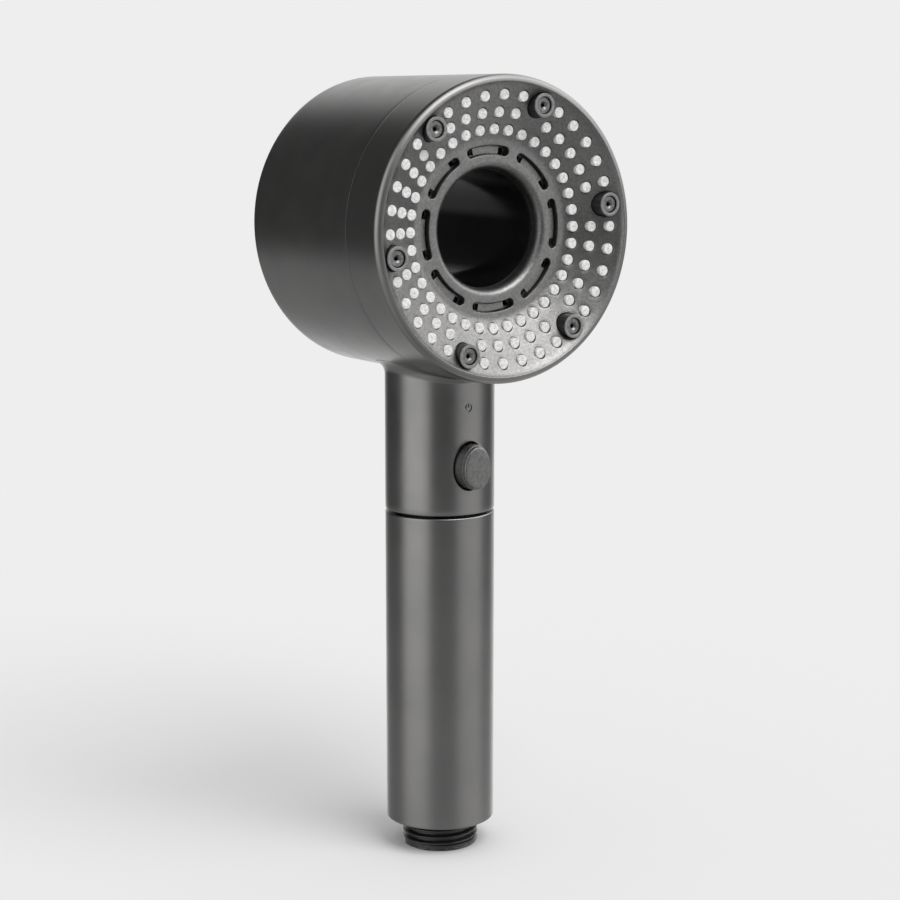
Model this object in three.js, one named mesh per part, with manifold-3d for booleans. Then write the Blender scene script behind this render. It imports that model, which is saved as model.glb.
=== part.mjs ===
// Handheld shower head with a round open-centred head, three spray modes, a stop button
// and a filter in the grip.
//
// Frame: millimetres, +Z up. The origin is on the handle's axis at the end of the hose
// thread, so the part stands on the plane z = 0. The head's axis is parallel to Y and the
// spray leaves towards -Y.

import * as THREE from 'three';
import { mergeVertices } from 'three/addons/utils/BufferGeometryUtils.js';
import Module from 'manifold-3d';

const wasm = await Module();
wasm.setup();

// ---------------------------------------------------------------- driving dimensions

const CLEARANCE = 0.3;            // between neighbouring pieces
const RAD = Math.PI / 180;

// Head: a drum along Y
const HEAD_AXIS_Z = 173.4;
const HEAD_RADIUS = 39.8;
const HEAD_LENGTH = 64.4;
const FACE_Y = -HEAD_LENGTH / 2;  // plane of the front rim
const REAR_Y = HEAD_LENGTH / 2;
const HEAD_WALL = 2.2;
const REAR_EDGE_RADIUS = 1.5;
const HEAD_SIDES = 36;            // facets round the visible shells, one nozzle pitch each
const INNER_SIDES = 24;           // facets round the pieces inside

// Turning face
const SPLIT_Y = -17.3;            // joint between the turning face and the casing
const SPLIT_GAP = 0.4;
const RIM_CHAMFER = 1.15;
const RIM_CREST_RADIUS = HEAD_RADIUS - RIM_CHAMFER;
const CONE_OUTER_RADIUS = 37.4;
const CONE_SLOPE = 0.517;         // depth lost per millimetre of radius
const HUB_RADIUS = 23.5;          // foot of the cone, edge of the flat hub
const HUB_DEPTH = 8.0;
const HUB_THICKNESS = 3.2;
const FACE_THICKNESS = 1.9;
const SKIRT_OUTER_RADIUS = 38.0;  // the part of the face shell that runs inside the casing
const SKIRT_INNER_RADIUS = 36.9;
const SKIRT_END_Y = -9.7;
const MODE_STEP = 20;             // degrees between spray modes

// Outlets on the face; angles run from +X towards +Z
const NOZZLE_RADIUS = 1.45;       // to the corners of a square peg
const NOZZLE_HOLE_RADIUS = 1.95;
const NOZZLE_SIDES = 4;
const NOZZLE_PITCH = 10;
const NOZZLE_RINGS = [
  { radius: 25.84, depth: 6.3, skipsJets: false },
  { radius: 30.23, depth: 4.1, skipsJets: true },
  { radius: 34.68, depth: 1.8, skipsJets: true },
];
const MAT_THICKNESS = 1.6;
const JET_COUNT = 6;
const JET_START = 10;
const JET_CIRCLE = 33.87;
const JET_POST_RADIUS = 3.15;
const JET_POST_DEPTH = 0.4;       // of the post's tip below the rim
const JET_POST_ROOM = 0.4;        // round a post, where it passes through face and mat
const JET_MOUTH_RADIUS = 2.3;
const JET_MOUTH_DEPTH = 2.8;
const JET_BORE_RADIUS = 1.5;
const JET_INSERT_THICKNESS = 1.8;
const JET_ORIFICE_RADIUS = 0.55;
const JET_SIDES = 10;
const SLOT_COUNT = 8;
const SLOT_START = 2.5;
const SLOT_HALF_SPAN = 15;
const SLOT_CENTRE_RADIUS = 20.5;
const SLOT_WIDTH = 2.5;
const SLOT_DEPTH = 1.6;
const MIST_HOLE_OFFSET = 13.7;    // degrees either side of a slot's middle
const MIST_HOLE_RADIUS = 0.75;

// Through bore of the head
const BORE_RADIUS = 15.4;
const LINER_RADIUS = 16.6;
const LIP_OUTER_RADIUS = 17.6;
const LIP_INNER_RADIUS = 15.6;
const LIP_DEPTH = 2.7;
const LIP_LAND = 1.2;             // straight part of the lip behind its curve
const LINER_FLANGE_RADIUS = 19.6; // holds the water chamber
const LINER_FLANGE_THICKNESS = 1.6;
const RING_GROOVE_Y = [-18.95, -17.85];
const RING_GROOVE_DEPTH = 0.6;
const RING_RADII = [16.25, 17.5];
const RING_Y = [-18.8, -18.0];
const RING_GAP = 12;              // degrees either side of the opening's middle

// Axial stations of the water stack, front to back
const MANIFOLD_Y = [-17.5, -15.9];
const MIST_WALLS = [[17.9, 18.9], [23.0, 24.1]];   // radii of the walls round the mist chamber
const CHANNEL_FRONT_Y = -15.6;
const CHANNEL_WALLS = [[17.0, 18.2], [22.4, 23.4], [29.4, 30.4], [35.4, 36.6]];
const SELECTOR_Y = [-12.5, -10.1];
const DIVERTER_Y = [-9.4, -7.6];
const CHAMBER_Y = [-7.3, 9.5];
const CHAMBER_WALL = 1.7;
const CHAMBER_OUTER_RADIUS = 36.4;
const PLATE_RADIUS = 36.6;
const PORT_ANGLE = -90;
const MODE_PORTS = [              // the diverter's outlets, and where the selector opens them
  { name: 'rain', radius: 26.4, step: 0 },
  { name: 'jet', radius: 32.9, step: 1 },
  { name: 'mist', radius: 20.3, step: 2 },
];
const PORT_RADIUS = 1.5;
const PORT_SEAL_RADIUS = 2.45;
const DETENT_CIRCLE = 30.4;
const DETENT_BALL_RADIUS = 1.5;
const DETENT_BALL_ENTRY = 0.5;    // how far the ball stands into the selector's groove
const DETENT_BORE_END_Y = -1.8;
const SCREW_COUNT = 3;
const SCREW_CIRCLE = 26.6;

// Neck and stop valve
const NECK_RADIUS = 15.0;
const NECK_BORE = 12.9;
const NECK_BOTTOM_Z = 96.05;
const NECK_SIDES = 32;
const FILLET_SIDE = 4.0;          // blend radius where the neck meets the drum's flanks
const FILLET_FRONT = 1.8;         // and where it comes close to the drum's ends
const BUTTON_Z = 109.5;
const BUTTON_WIDTH = 8.8;
const BUTTON_HEIGHT = 12.4;
const BUTTON_ROOM = 0.4;          // between the button and its opening
const BUTTON_TOP_Y = -19.0;
const BUTTON_STEP = 1.1;          // height of the narrower top
const BUTTON_FLANGE_Y = [-11.0, -10.0];
const VALVE_RADIUS = 12.5;
const VALVE_Z = [102.3, 118.5];
const VALVE_BORE = 4.0;
const VALVE_SEAT_Y = [-0.7, 0.9];
const RISER_RADIUS = 5.5;
const RISER_BORE = 4.2;
const RISER_Z = [115.3, 136.0];

// Grip, filter and hose end
const GRIP_RADIUS = 15.0;
const GRIP_BORE = 13.0;
const GRIP_MOUTH_RADIUS = 10.95;  // the hole in its floor that the connector passes through
const GRIP_FLOOR = 3.1;
const GRIP_Z = [7.86, 95.35];
const SPIGOT_Z = [80.5, 102.0];
const SPIGOT_RADIUS = 12.4;
const SPIGOT_BORE = 8.5;
const FILTER_Z = [24.8, 76.2];
const FILTER_RADIUS = 11.2;
const FILTER_NOSE_RADIUS = 7.9;   // runs inside the spigot
const CORE_RADIUS = 4.8;
const THREAD_RADIUS = 10.478;     // G1/2: major diameter 20.955
const THREAD_ROOT = 9.316;        // minor diameter 18.631
const THREAD_PITCH = 1.814;
const THREAD_TURNS = 4;
const THREAD_START_Z = 0.95;      // middle of the first crest
const CONNECTOR_NECK_RADIUS = 10.3;
const CONNECTOR_FLANGE_RADIUS = 12.6;
const CONNECTOR_FLANGE_THICKNESS = 3.0;
const CONNECTOR_BORE = 7.2;
const CONNECTOR_TOP_Z = 19.0;
const CONNECTOR_SIDES = 22;

// ---------------------------------------------------------------- materials

const finish = (color, roughness, metalness = 0) => (
  new THREE.MeshStandardMaterial({ color, roughness, metalness })
);

const MATERIALS = {
  paintedShell: finish(0x4b4b4b, 0.42, 0.45),
  glossBlack: finish(0x0a0a0b, 0.12),
  blackPlastic: finish(0x1c1c1d, 0.45),
  innerPlastic: finish(0xb9bbb8, 0.5),
  silicone: finish(0xf1f1ee, 0.55),
  rubber: finish(0x151515, 0.75),
  steel: finish(0xb4b6b8, 0.3, 1),
  filterCotton: finish(0xf4f2ea, 0.95),
};

// ---------------------------------------------------------------- solids

// A closed three.js geometry as a solid that can be joined and cut.
function solid(geometry) {
  const bare = new THREE.BufferGeometry();
  bare.setAttribute('position', geometry.getAttribute('position'));
  bare.setIndex(geometry.getIndex());
  const welded = mergeVertices(bare);
  const corners = welded.getIndex().array;
  const triangles = [];
  for (let i = 0; i < corners.length; i += 3) {
    const [a, b, c] = corners.slice(i, i + 3);
    if (a !== b && b !== c && c !== a) triangles.push(a, b, c);
  }
  return new wasm.Manifold(new wasm.Mesh({
    numProp: 3,
    vertProperties: new Float32Array(welded.getAttribute('position').array),
    triVerts: new Uint32Array(triangles),
  }));
}

function toGeometry(piece) {
  const mesh = piece.getMesh();
  const geometry = new THREE.BufferGeometry();
  geometry.setAttribute('position', new THREE.BufferAttribute(mesh.vertProperties, 3));
  geometry.setIndex(new THREE.BufferAttribute(mesh.triVerts, 1));
  geometry.computeVertexNormals();
  return geometry;
}

const joined = (pieces) => pieces.reduce((whole, piece) => whole.add(piece));

// A closed outline of [radius, height] points, in either direction, turned about Y.
function turned(outline, sides) {
  let area = 0;
  outline.forEach(([radius, height], i) => {
    const [nextRadius, nextHeight] = outline[(i + 1) % outline.length];
    area += radius * nextHeight - nextRadius * height;
  });
  const ordered = area > 0 ? outline : [...outline].reverse();
  const points = [...ordered, ordered[0]].map(([radius, height]) => new THREE.Vector2(radius, height));
  return new THREE.LatheGeometry(points, sides, Math.PI / sides);
}

// Turned about the head's axis: heights are world Y.
const headTurned = (outline, sides = INNER_SIDES) => (
  solid(turned(outline, sides).translate(0, 0, HEAD_AXIS_Z))
);

// Turned about the handle's axis: heights are world Z.
const handleTurned = (outline, sides = INNER_SIDES) => solid(turned(outline, sides).rotateX(Math.PI / 2));

// The four corners of a plain ring's section.
const ringSection = (inner, outer, low, high) => [[inner, low], [outer, low], [outer, high], [inner, high]];

// A round seal's section: a small polygon about [radius, height].
function sealSection(radius, height, thickness, corners = 5) {
  const points = [];
  for (let i = 0; i < corners; i += 1) {
    const angle = (2 * Math.PI * i) / corners;
    points.push([radius + thickness * Math.cos(angle), height + thickness * Math.sin(angle)]);
  }
  return points;
}

// Points of an arc in an outline, angles in degrees.
function arcPoints(centreX, centreY, radiusX, radiusY, from, to, steps) {
  const points = [];
  for (let i = 0; i <= steps; i += 1) {
    const angle = (from + ((to - from) * i) / steps) * RAD;
    points.push([centreX + radiusX * Math.cos(angle), centreY + radiusY * Math.sin(angle)]);
  }
  return points;
}

const rodY = (radius, [low, high], sides, x = 0, z = HEAD_AXIS_Z) => (
  solid(new THREE.CylinderGeometry(radius, radius, high - low, sides).translate(x, (low + high) / 2, z))
);

const rodZ = (radius, [low, high], sides, x = 0, y = 0) => {
  const rod = new THREE.CylinderGeometry(radius, radius, high - low, sides);
  return solid(rod.rotateX(Math.PI / 2).translate(x, y, (low + high) / 2));
};

const box = ([x0, x1], [y0, y1], [z0, z1]) => {
  const block = new THREE.BoxGeometry(x1 - x0, y1 - y0, z1 - z0);
  return solid(block.translate((x0 + x1) / 2, (y0 + y1) / 2, (z0 + z1) / 2));
};

// An outline drawn in X and Z, extruded along Y between two stations.
function prismY(shape, [low, high], centreZ, curveSegments = 8) {
  const options = { depth: high - low, bevelEnabled: false, curveSegments };
  return solid(new THREE.ExtrudeGeometry(shape, options).rotateX(Math.PI / 2).translate(0, high, centreZ));
}

// The button's outline: an oval standing up, a little narrower at its top.
function oval(width, height) {
  const corners = 28;
  const taper = 0.06;
  const points = [];
  for (let i = 0; i < corners; i += 1) {
    const angle = (2 * Math.PI * i) / corners;
    const halfWidth = (width / 2) * (1 - taper * Math.sin(angle));
    points.push(new THREE.Vector2(halfWidth * Math.cos(angle), (height / 2) * Math.sin(angle)));
  }
  return new THREE.Shape(points);
}

// A coil spring between two points on a line along +Y.
function coilSpring(radius, wire, turns, [low, high], x, z) {
  const stepsPerTurn = 8;
  const lift = high - low - 2 * wire;
  const points = [];
  for (let i = 0; i <= turns * stepsPerTurn; i += 1) {
    const angle = (2 * Math.PI * i) / stepsPerTurn;
    const y = low + wire + (lift * i) / (turns * stepsPerTurn);
    points.push(new THREE.Vector3(x + radius * Math.cos(angle), y, z + radius * Math.sin(angle)));
  }
  const section = new THREE.Shape();
  section.absarc(0, 0, wire, 0, 2 * Math.PI, false);
  const options = {
    extrudePath: new THREE.CatmullRomCurve3(points),
    steps: turns * stepsPerTurn,
    curveSegments: 2,
    bevelEnabled: false,
  };
  return solid(new THREE.ExtrudeGeometry(section, options));
}

// The places of a round pattern on the head: calls make(x, z, index) for each.
function aroundHead(count, radius, start, make) {
  return Array.from({ length: count }, (_, i) => {
    const angle = (start + (360 * i) / count) * RAD;
    return make(radius * Math.cos(angle), HEAD_AXIS_Z + radius * Math.sin(angle), i);
  });
}

const onHead = (radius, degrees) => (
  [radius * Math.cos(degrees * RAD), HEAD_AXIS_Z + radius * Math.sin(degrees * RAD)]
);

// ---------------------------------------------------------------- turning face

// Depth of the conical face below the rim, as world Y.
const coneY = (radius) => FACE_Y + HUB_DEPTH - (radius - HUB_RADIUS) * CONE_SLOPE;

// Calls make(x, z, ring) for each nozzle; the outer rings leave room for the jet posts.
function eachNozzle(make) {
  const jetSpacing = 360 / JET_COUNT;
  const pieces = [];
  for (const ring of NOZZLE_RINGS) {
    for (let degrees = 0; degrees < 360; degrees += NOZZLE_PITCH) {
      const atJet = (degrees - JET_START) % jetSpacing === 0;
      if (!(ring.skipsJets && atJet)) pieces.push(make(...onHead(ring.radius, degrees), ring));
    }
  }
  return pieces;
}

// An arc slot of the hub, with round ends.
function slotShape(middle) {
  const from = (middle - SLOT_HALF_SPAN) * RAD;
  const to = (middle + SLOT_HALF_SPAN) * RAD;
  const half = SLOT_WIDTH / 2;
  const endX = (angle) => SLOT_CENTRE_RADIUS * Math.cos(angle);
  const endY = (angle) => SLOT_CENTRE_RADIUS * Math.sin(angle);
  const shape = new THREE.Shape();
  shape.absarc(0, 0, SLOT_CENTRE_RADIUS + half, from, to, false);
  shape.absarc(endX(to), endY(to), half, to, to + Math.PI, false);
  shape.absarc(0, 0, SLOT_CENTRE_RADIUS - half, to, from, true);
  shape.absarc(endX(from), endY(from), half, from + Math.PI, from + 2 * Math.PI, false);
  return shape;
}

function faceShell() {
  const hubBackY = FACE_Y + HUB_DEPTH + HUB_THICKNESS;
  const lipTopY = FACE_Y + HUB_DEPTH;
  const bandEndY = SPLIT_Y - SPLIT_GAP / 2;
  const innerCorner = SKIRT_INNER_RADIUS - CLEARANCE;
  const body = headTurned([
    [HEAD_RADIUS, bandEndY],
    [HEAD_RADIUS, FACE_Y + RIM_CHAMFER],
    [RIM_CREST_RADIUS, FACE_Y],
    [CONE_OUTER_RADIUS, coneY(CONE_OUTER_RADIUS)],
    [HUB_RADIUS, coneY(HUB_RADIUS)],
    ...arcPoints(LIP_OUTER_RADIUS, lipTopY + LIP_DEPTH,
      LIP_OUTER_RADIUS - LIP_INNER_RADIUS, LIP_DEPTH, -90, -180, 2),
    [LIP_INNER_RADIUS, lipTopY + LIP_DEPTH + LIP_LAND],
    [LINER_RADIUS + CLEARANCE, lipTopY + LIP_DEPTH + LIP_LAND],
    [LINER_RADIUS + CLEARANCE, hubBackY],
    [HUB_RADIUS, hubBackY],
    [HUB_RADIUS, coneY(HUB_RADIUS) + FACE_THICKNESS],
    [innerCorner, coneY(innerCorner) + FACE_THICKNESS],
    [SKIRT_INNER_RADIUS, coneY(innerCorner) + FACE_THICKNESS],
    [SKIRT_INNER_RADIUS, SKIRT_END_Y],
    [SKIRT_OUTER_RADIUS, SKIRT_END_Y],
    [SKIRT_OUTER_RADIUS, bandEndY],
  ], HEAD_SIDES);

  const throughFace = [FACE_Y - 1, MANIFOLD_Y[1] + CLEARANCE];
  const nozzleHoles = eachNozzle((x, z) => (
    rodY(NOZZLE_HOLE_RADIUS, throughFace, NOZZLE_SIDES, x, z)
  ));
  const postHoles = aroundHead(JET_COUNT, JET_CIRCLE, JET_START, (x, z) => (
    rodY(JET_POST_RADIUS + JET_POST_ROOM, throughFace, JET_SIDES, x, z)
  ));
  const slots = [];
  const mistHoles = [];
  for (let i = 0; i < SLOT_COUNT; i += 1) {
    const middle = SLOT_START + (360 * i) / SLOT_COUNT;
    slots.push(prismY(slotShape(middle), [FACE_Y, FACE_Y + HUB_DEPTH + SLOT_DEPTH], HEAD_AXIS_Z, 3));
    for (const side of [-1, 1]) {
      const [x, z] = onHead(SLOT_CENTRE_RADIUS, middle + side * MIST_HOLE_OFFSET);
      mistHoles.push(rodY(MIST_HOLE_RADIUS, [FACE_Y, hubBackY + 1], 4, x, z));
    }
  }
  return body.subtract(joined([...nozzleHoles, ...postHoles, ...slots, ...mistHoles]));
}

function nozzleMat() {
  const inner = HUB_RADIUS + CLEARANCE;
  const outer = SKIRT_INNER_RADIUS - CLEARANCE;
  const front = FACE_THICKNESS + CLEARANCE;
  const back = front + MAT_THICKNESS;
  const sheet = headTurned([
    [inner, coneY(inner) + front],
    [outer, coneY(outer) + front],
    [outer, coneY(outer) + back],
    [inner, coneY(inner) + back],
  ], HEAD_SIDES);
  const nozzles = eachNozzle((x, z, ring) => (
    rodY(NOZZLE_RADIUS, [FACE_Y + ring.depth, coneY(ring.radius) + back - 0.8], NOZZLE_SIDES, x, z)
  ));
  const postHoles = aroundHead(JET_COUNT, JET_CIRCLE, JET_START, (x, z) => (
    rodY(JET_POST_RADIUS + JET_POST_ROOM, [FACE_Y, MANIFOLD_Y[0]], JET_SIDES, x, z)
  ));
  return joined([sheet, ...nozzles]).subtract(joined(postHoles));
}

// The plate behind the mat: hollow posts carry the jets through it, and two walls close off
// the mist chamber behind the hub.
function jetManifold() {
  const [front, back] = MANIFOLD_Y;
  const wallTip = FACE_Y + HUB_DEPTH + HUB_THICKNESS + 0.8;
  const plate = headTurned(ringSection(LINER_RADIUS + 0.35, PLATE_RADIUS, front, back));
  const walls = MIST_WALLS.map(([inner, outer]) => (
    headTurned(ringSection(inner, outer, wallTip, front + 0.5))
  ));
  const tip = FACE_Y + JET_POST_DEPTH;
  const posts = aroundHead(JET_COUNT, JET_CIRCLE, JET_START, (x, z) => (
    rodY(JET_POST_RADIUS, [tip, back - 0.6], JET_SIDES, x, z)
  ));
  const bores = aroundHead(JET_COUNT, JET_CIRCLE, JET_START, (x, z) => (
    rodY(JET_BORE_RADIUS, [tip, back + 1], 8, x, z)
      .add(rodY(JET_MOUTH_RADIUS, [tip - 1, tip + JET_MOUTH_DEPTH], JET_SIDES, x, z))
  ));
  const throughPlate = [front - 1, back + 1];
  const rainFeeds = aroundHead(JET_COUNT, 27, JET_START + 30, (x, z) => rodY(2, throughPlate, 8, x, z));
  const mistFeeds = aroundHead(4, 21, 45, (x, z) => rodY(1.4, throughPlate, 8, x, z));
  return joined([plate, ...walls, ...posts]).subtract(joined([...bores, ...rainFeeds, ...mistFeeds]));
}

// A small orifice disc, seated in the mouth of a jet post.
function jetInsert(x, z) {
  const seat = FACE_Y + JET_POST_DEPTH + JET_MOUTH_DEPTH - CLEARANCE;
  const front = seat - JET_INSERT_THICKNESS;
  const disc = rodY(JET_MOUTH_RADIUS - CLEARANCE, [front, seat], JET_SIDES, x, z);
  return disc.subtract(rodY(JET_ORIFICE_RADIUS, [front - 1, seat + 1], 6, x, z));
}

// The turning selector disc: three ring channels, each with its own port.
function selectorPlate() {
  const [floor, back] = SELECTOR_Y;
  const grooveHalfWidth = 1.6;
  const grooveInner = DETENT_CIRCLE - grooveHalfWidth;
  const grooveOuter = DETENT_CIRCLE + grooveHalfWidth;
  const grooveFloor = back - 1.2;
  const hub = CHANNEL_WALLS[0][0];
  const frontProfile = CHANNEL_WALLS.flatMap(([inner, outer]) => [
    [inner, floor], [inner, CHANNEL_FRONT_Y], [outer, CHANNEL_FRONT_Y], [outer, floor],
  ]);
  const body = headTurned([
    ...frontProfile.slice(1, -1),
    [PLATE_RADIUS, back], [grooveOuter, back],
    [grooveOuter, grooveFloor], [grooveInner, grooveFloor],
    [grooveInner, back], [hub, back],
  ]);
  const ports = MODE_PORTS.map(({ radius, step }) => (
    rodY(PORT_RADIUS, [floor - 1, back + 1], 8, ...onHead(radius, PORT_ANGLE - step * MODE_STEP))
  ));
  const pits = [0, 1, 2].map((step) => (
    rodY(1, [grooveFloor - 0.5, grooveFloor + 0.5], 6, ...onHead(DETENT_CIRCLE, 90 - step * MODE_STEP))
  ));
  return body.subtract(joined([...ports, ...pits]));
}

// ---------------------------------------------------------------- fixed head pieces

// A ring of closed sections, each joined to the next.
function loft(sections) {
  const size = sections[0].length;
  const positions = sections.flat().flatMap((point) => point.toArray());
  const triangles = [];
  for (let i = 0; i < sections.length; i += 1) {
    const next = (i + 1) % sections.length;
    for (let j = 0; j < size; j += 1) {
      const up = (j + 1) % size;
      const [a, b, c, d] = [i * size + j, next * size + j, next * size + up, i * size + up];
      triangles.push(a, b, c, a, c, d);
    }
  }
  const geometry = new THREE.BufferGeometry();
  geometry.setAttribute('position', new THREE.Float32BufferAttribute(positions, 3));
  geometry.setIndex(triangles);
  return geometry;
}

// The blend between neck and drum, as a ball rolled round their joint would leave it.
function neckFillet() {
  const arcSteps = 3;
  const sections = [];
  for (let i = 0; i < NECK_SIDES; i += 1) {
    const angle = (2 * Math.PI * i) / NECK_SIDES;
    const ball = FILLET_FRONT + (FILLET_SIDE - FILLET_FRONT) * Math.cos(angle) ** 2;
    const reach = NECK_RADIUS + ball;
    const outward = new THREE.Vector3(Math.cos(angle), Math.sin(angle), 0);
    const centre = outward.clone().multiplyScalar(reach);
    centre.z = HEAD_AXIS_Z - Math.sqrt((HEAD_RADIUS + ball) ** 2 - centre.x ** 2);
    const toNeck = outward.clone().negate();
    const toDrum = new THREE.Vector3(-centre.x, 0, HEAD_AXIS_Z - centre.z).normalize();
    const sweep = toNeck.angleTo(toDrum);
    const section = [];
    for (let j = 0; j <= arcSteps; j += 1) {
      const part = j / arcSteps;
      const direction = toNeck.clone().multiplyScalar(Math.sin((1 - part) * sweep))
        .addScaledVector(toDrum, Math.sin(part * sweep)).divideScalar(Math.sin(sweep));
      section.push(centre.clone().addScaledVector(direction, ball));
    }
    const drumPoint = section[arcSteps].clone().addScaledVector(toDrum, 1);
    const innerTop = outward.clone().multiplyScalar(NECK_RADIUS - 1).setZ(drumPoint.z);
    const innerBottom = innerTop.clone().setZ(centre.z);
    sections.push([...section, drumPoint, innerTop, innerBottom]);
  }
  return solid(loft(sections));
}

function headCasing() {
  const frontY = SPLIT_Y + SPLIT_GAP / 2;
  const edge = REAR_EDGE_RADIUS;
  const drum = headTurned([
    [0, frontY],
    [HEAD_RADIUS, frontY],
    ...arcPoints(HEAD_RADIUS - edge, REAR_Y - edge, edge, edge, 0, 90, 2),
    [0, REAR_Y],
  ], HEAD_SIDES);
  const skirtRoom = SKIRT_OUTER_RADIUS + CLEARANCE;
  const stepY = SKIRT_END_Y + 0.6;
  const inside = headTurned([
    [0, frontY - 1],
    [skirtRoom, frontY - 1],
    [skirtRoom, stepY],
    [HEAD_RADIUS - HEAD_WALL, stepY],
    [HEAD_RADIUS - HEAD_WALL, REAR_Y + 1],
    [0, REAR_Y + 1],
  ], HEAD_SIDES);
  const neckTop = HEAD_AXIS_Z - HEAD_RADIUS + 6;
  const neck = rodZ(NECK_RADIUS, [NECK_BOTTOM_Z, neckTop], NECK_SIDES);
  const neckBore = rodZ(NECK_BORE, [NECK_BOTTOM_Z - 1, neckTop + 1], NECK_SIDES);
  const buttonHole = prismY(oval(BUTTON_WIDTH + 2 * BUTTON_ROOM, BUTTON_HEIGHT + 2 * BUTTON_ROOM),
    [-NECK_RADIUS - 1, -NECK_BORE / 2], BUTTON_Z);
  return joined([drum, neck, neckFillet()]).subtract(joined([inside, neckBore, buttonHole]));
}

// A ring-shaped cover with a short skirt round each edge.
function rearCover() {
  const inner = LINER_RADIUS + 0.4;
  const outer = HEAD_RADIUS - HEAD_WALL - 0.4;
  const back = REAR_Y - CLEARANCE;
  const plateFront = back - 2;
  const skirtFront = plateFront - 4;
  const innerSkirt = inner + 1.2;
  const outerSkirt = outer - 1.4;
  return headTurned([
    [inner, skirtFront], [innerSkirt, skirtFront],
    [innerSkirt, plateFront], [outerSkirt, plateFront],
    [outerSkirt, skirtFront], [outer, skirtFront],
    [outer, back], [inner, back],
  ]);
}

// The tube through the head. A flange holds the water chamber, a groove the retaining ring.
function boreLiner() {
  const front = FACE_Y + HUB_DEPTH + LIP_DEPTH + LIP_LAND + CLEARANCE;
  const back = REAR_Y - CLEARANCE;
  const chamfer = 0.5;
  const flangeFront = CHAMBER_Y[1] + CLEARANCE;
  const flangeBack = flangeFront + LINER_FLANGE_THICKNESS;
  const grooveFloor = LINER_RADIUS - RING_GROOVE_DEPTH;
  return headTurned([
    [BORE_RADIUS, front], [BORE_RADIUS, back - chamfer], [BORE_RADIUS + chamfer, back],
    [LINER_RADIUS, back], [LINER_RADIUS, flangeBack],
    [LINER_FLANGE_RADIUS, flangeBack], [LINER_FLANGE_RADIUS, flangeFront],
    [LINER_RADIUS, flangeFront], [LINER_RADIUS, RING_GROOVE_Y[1]],
    [grooveFloor, RING_GROOVE_Y[1]], [grooveFloor, RING_GROOVE_Y[0]],
    [LINER_RADIUS, RING_GROOVE_Y[0]], [LINER_RADIUS, front],
  ]);
}

// A split ring that keeps the turning face on the liner.
function retainingRing() {
  const [inner, outer] = RING_RADII;
  const start = RING_GAP * RAD;
  const end = 2 * Math.PI - start;
  const shape = new THREE.Shape();
  shape.absarc(0, 0, outer, start, end, false);
  shape.absarc(0, 0, inner, end, start, true);
  return prismY(shape, RING_Y, HEAD_AXIS_Z, 16);
}

// The fixed plate behind the selector: an outlet for each mode, three screw posts and the
// housing of the detent ball.
function diverterPlate() {
  const [front, back] = DIVERTER_Y;
  const disc = headTurned(ringSection(LINER_RADIUS + 0.4, PLATE_RADIUS, front, back));
  const postEnd = CHAMBER_Y[1] - CHAMBER_WALL - CLEARANCE;
  const posts = aroundHead(SCREW_COUNT, SCREW_CIRCLE, 0, (x, z) => (
    rodY(2.8, [back - 0.8, postEnd], 8, x, z)
  ));
  const pilots = aroundHead(SCREW_COUNT, SCREW_CIRCLE, 0, (x, z) => (
    rodY(1.3, [0, postEnd + 1], 8, x, z)
  ));
  const detentPlace = onHead(DETENT_CIRCLE, 90);
  const housingEnd = DETENT_BORE_END_Y + 0.8;
  const detentHousing = rodY(2.9, [back - 0.8, housingEnd], 12, ...detentPlace);
  const ballRoom = DETENT_BALL_RADIUS + CLEARANCE + 0.05;
  const detentBore = rodY(ballRoom, [front - 1, DETENT_BORE_END_Y], 10, ...detentPlace);
  const outlets = MODE_PORTS.map(({ radius }) => {
    const place = onHead(radius, PORT_ANGLE);
    return rodY(PORT_RADIUS, [front - 1, back + 1], 8, ...place)
      .add(rodY(PORT_SEAL_RADIUS + 0.35, [front - 1, front + 1.1], 10, ...place));
  });
  return joined([disc, ...posts, detentHousing]).subtract(joined([...pilots, detentBore, ...outlets]));
}

// The rubber ring that presses on the selector round one outlet.
function portSeal({ radius }) {
  const [x, z] = onHead(radius, PORT_ANGLE);
  const span = [DIVERTER_Y[0] - 0.35, DIVERTER_Y[0] + 0.8];
  return rodY(PORT_SEAL_RADIUS, span, 10, x, z)
    .subtract(rodY(PORT_RADIUS, [span[0] - 1, span[1] + 1], 8, x, z));
}

function detentBall() {
  const [x, z] = onHead(DETENT_CIRCLE, 90);
  const nose = SELECTOR_Y[1] - DETENT_BALL_ENTRY;
  const ball = new THREE.SphereGeometry(DETENT_BALL_RADIUS, 12, 8);
  return solid(ball.translate(x, nose + DETENT_BALL_RADIUS, z));
}

function detentSpring() {
  const [x, z] = onHead(DETENT_CIRCLE, 90);
  const ballBack = SELECTOR_Y[1] - DETENT_BALL_ENTRY + 2 * DETENT_BALL_RADIUS;
  return coilSpring(1.0, 0.25, 3, [ballBack + 0.2, DETENT_BORE_END_Y - 0.2], x, z);
}

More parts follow.
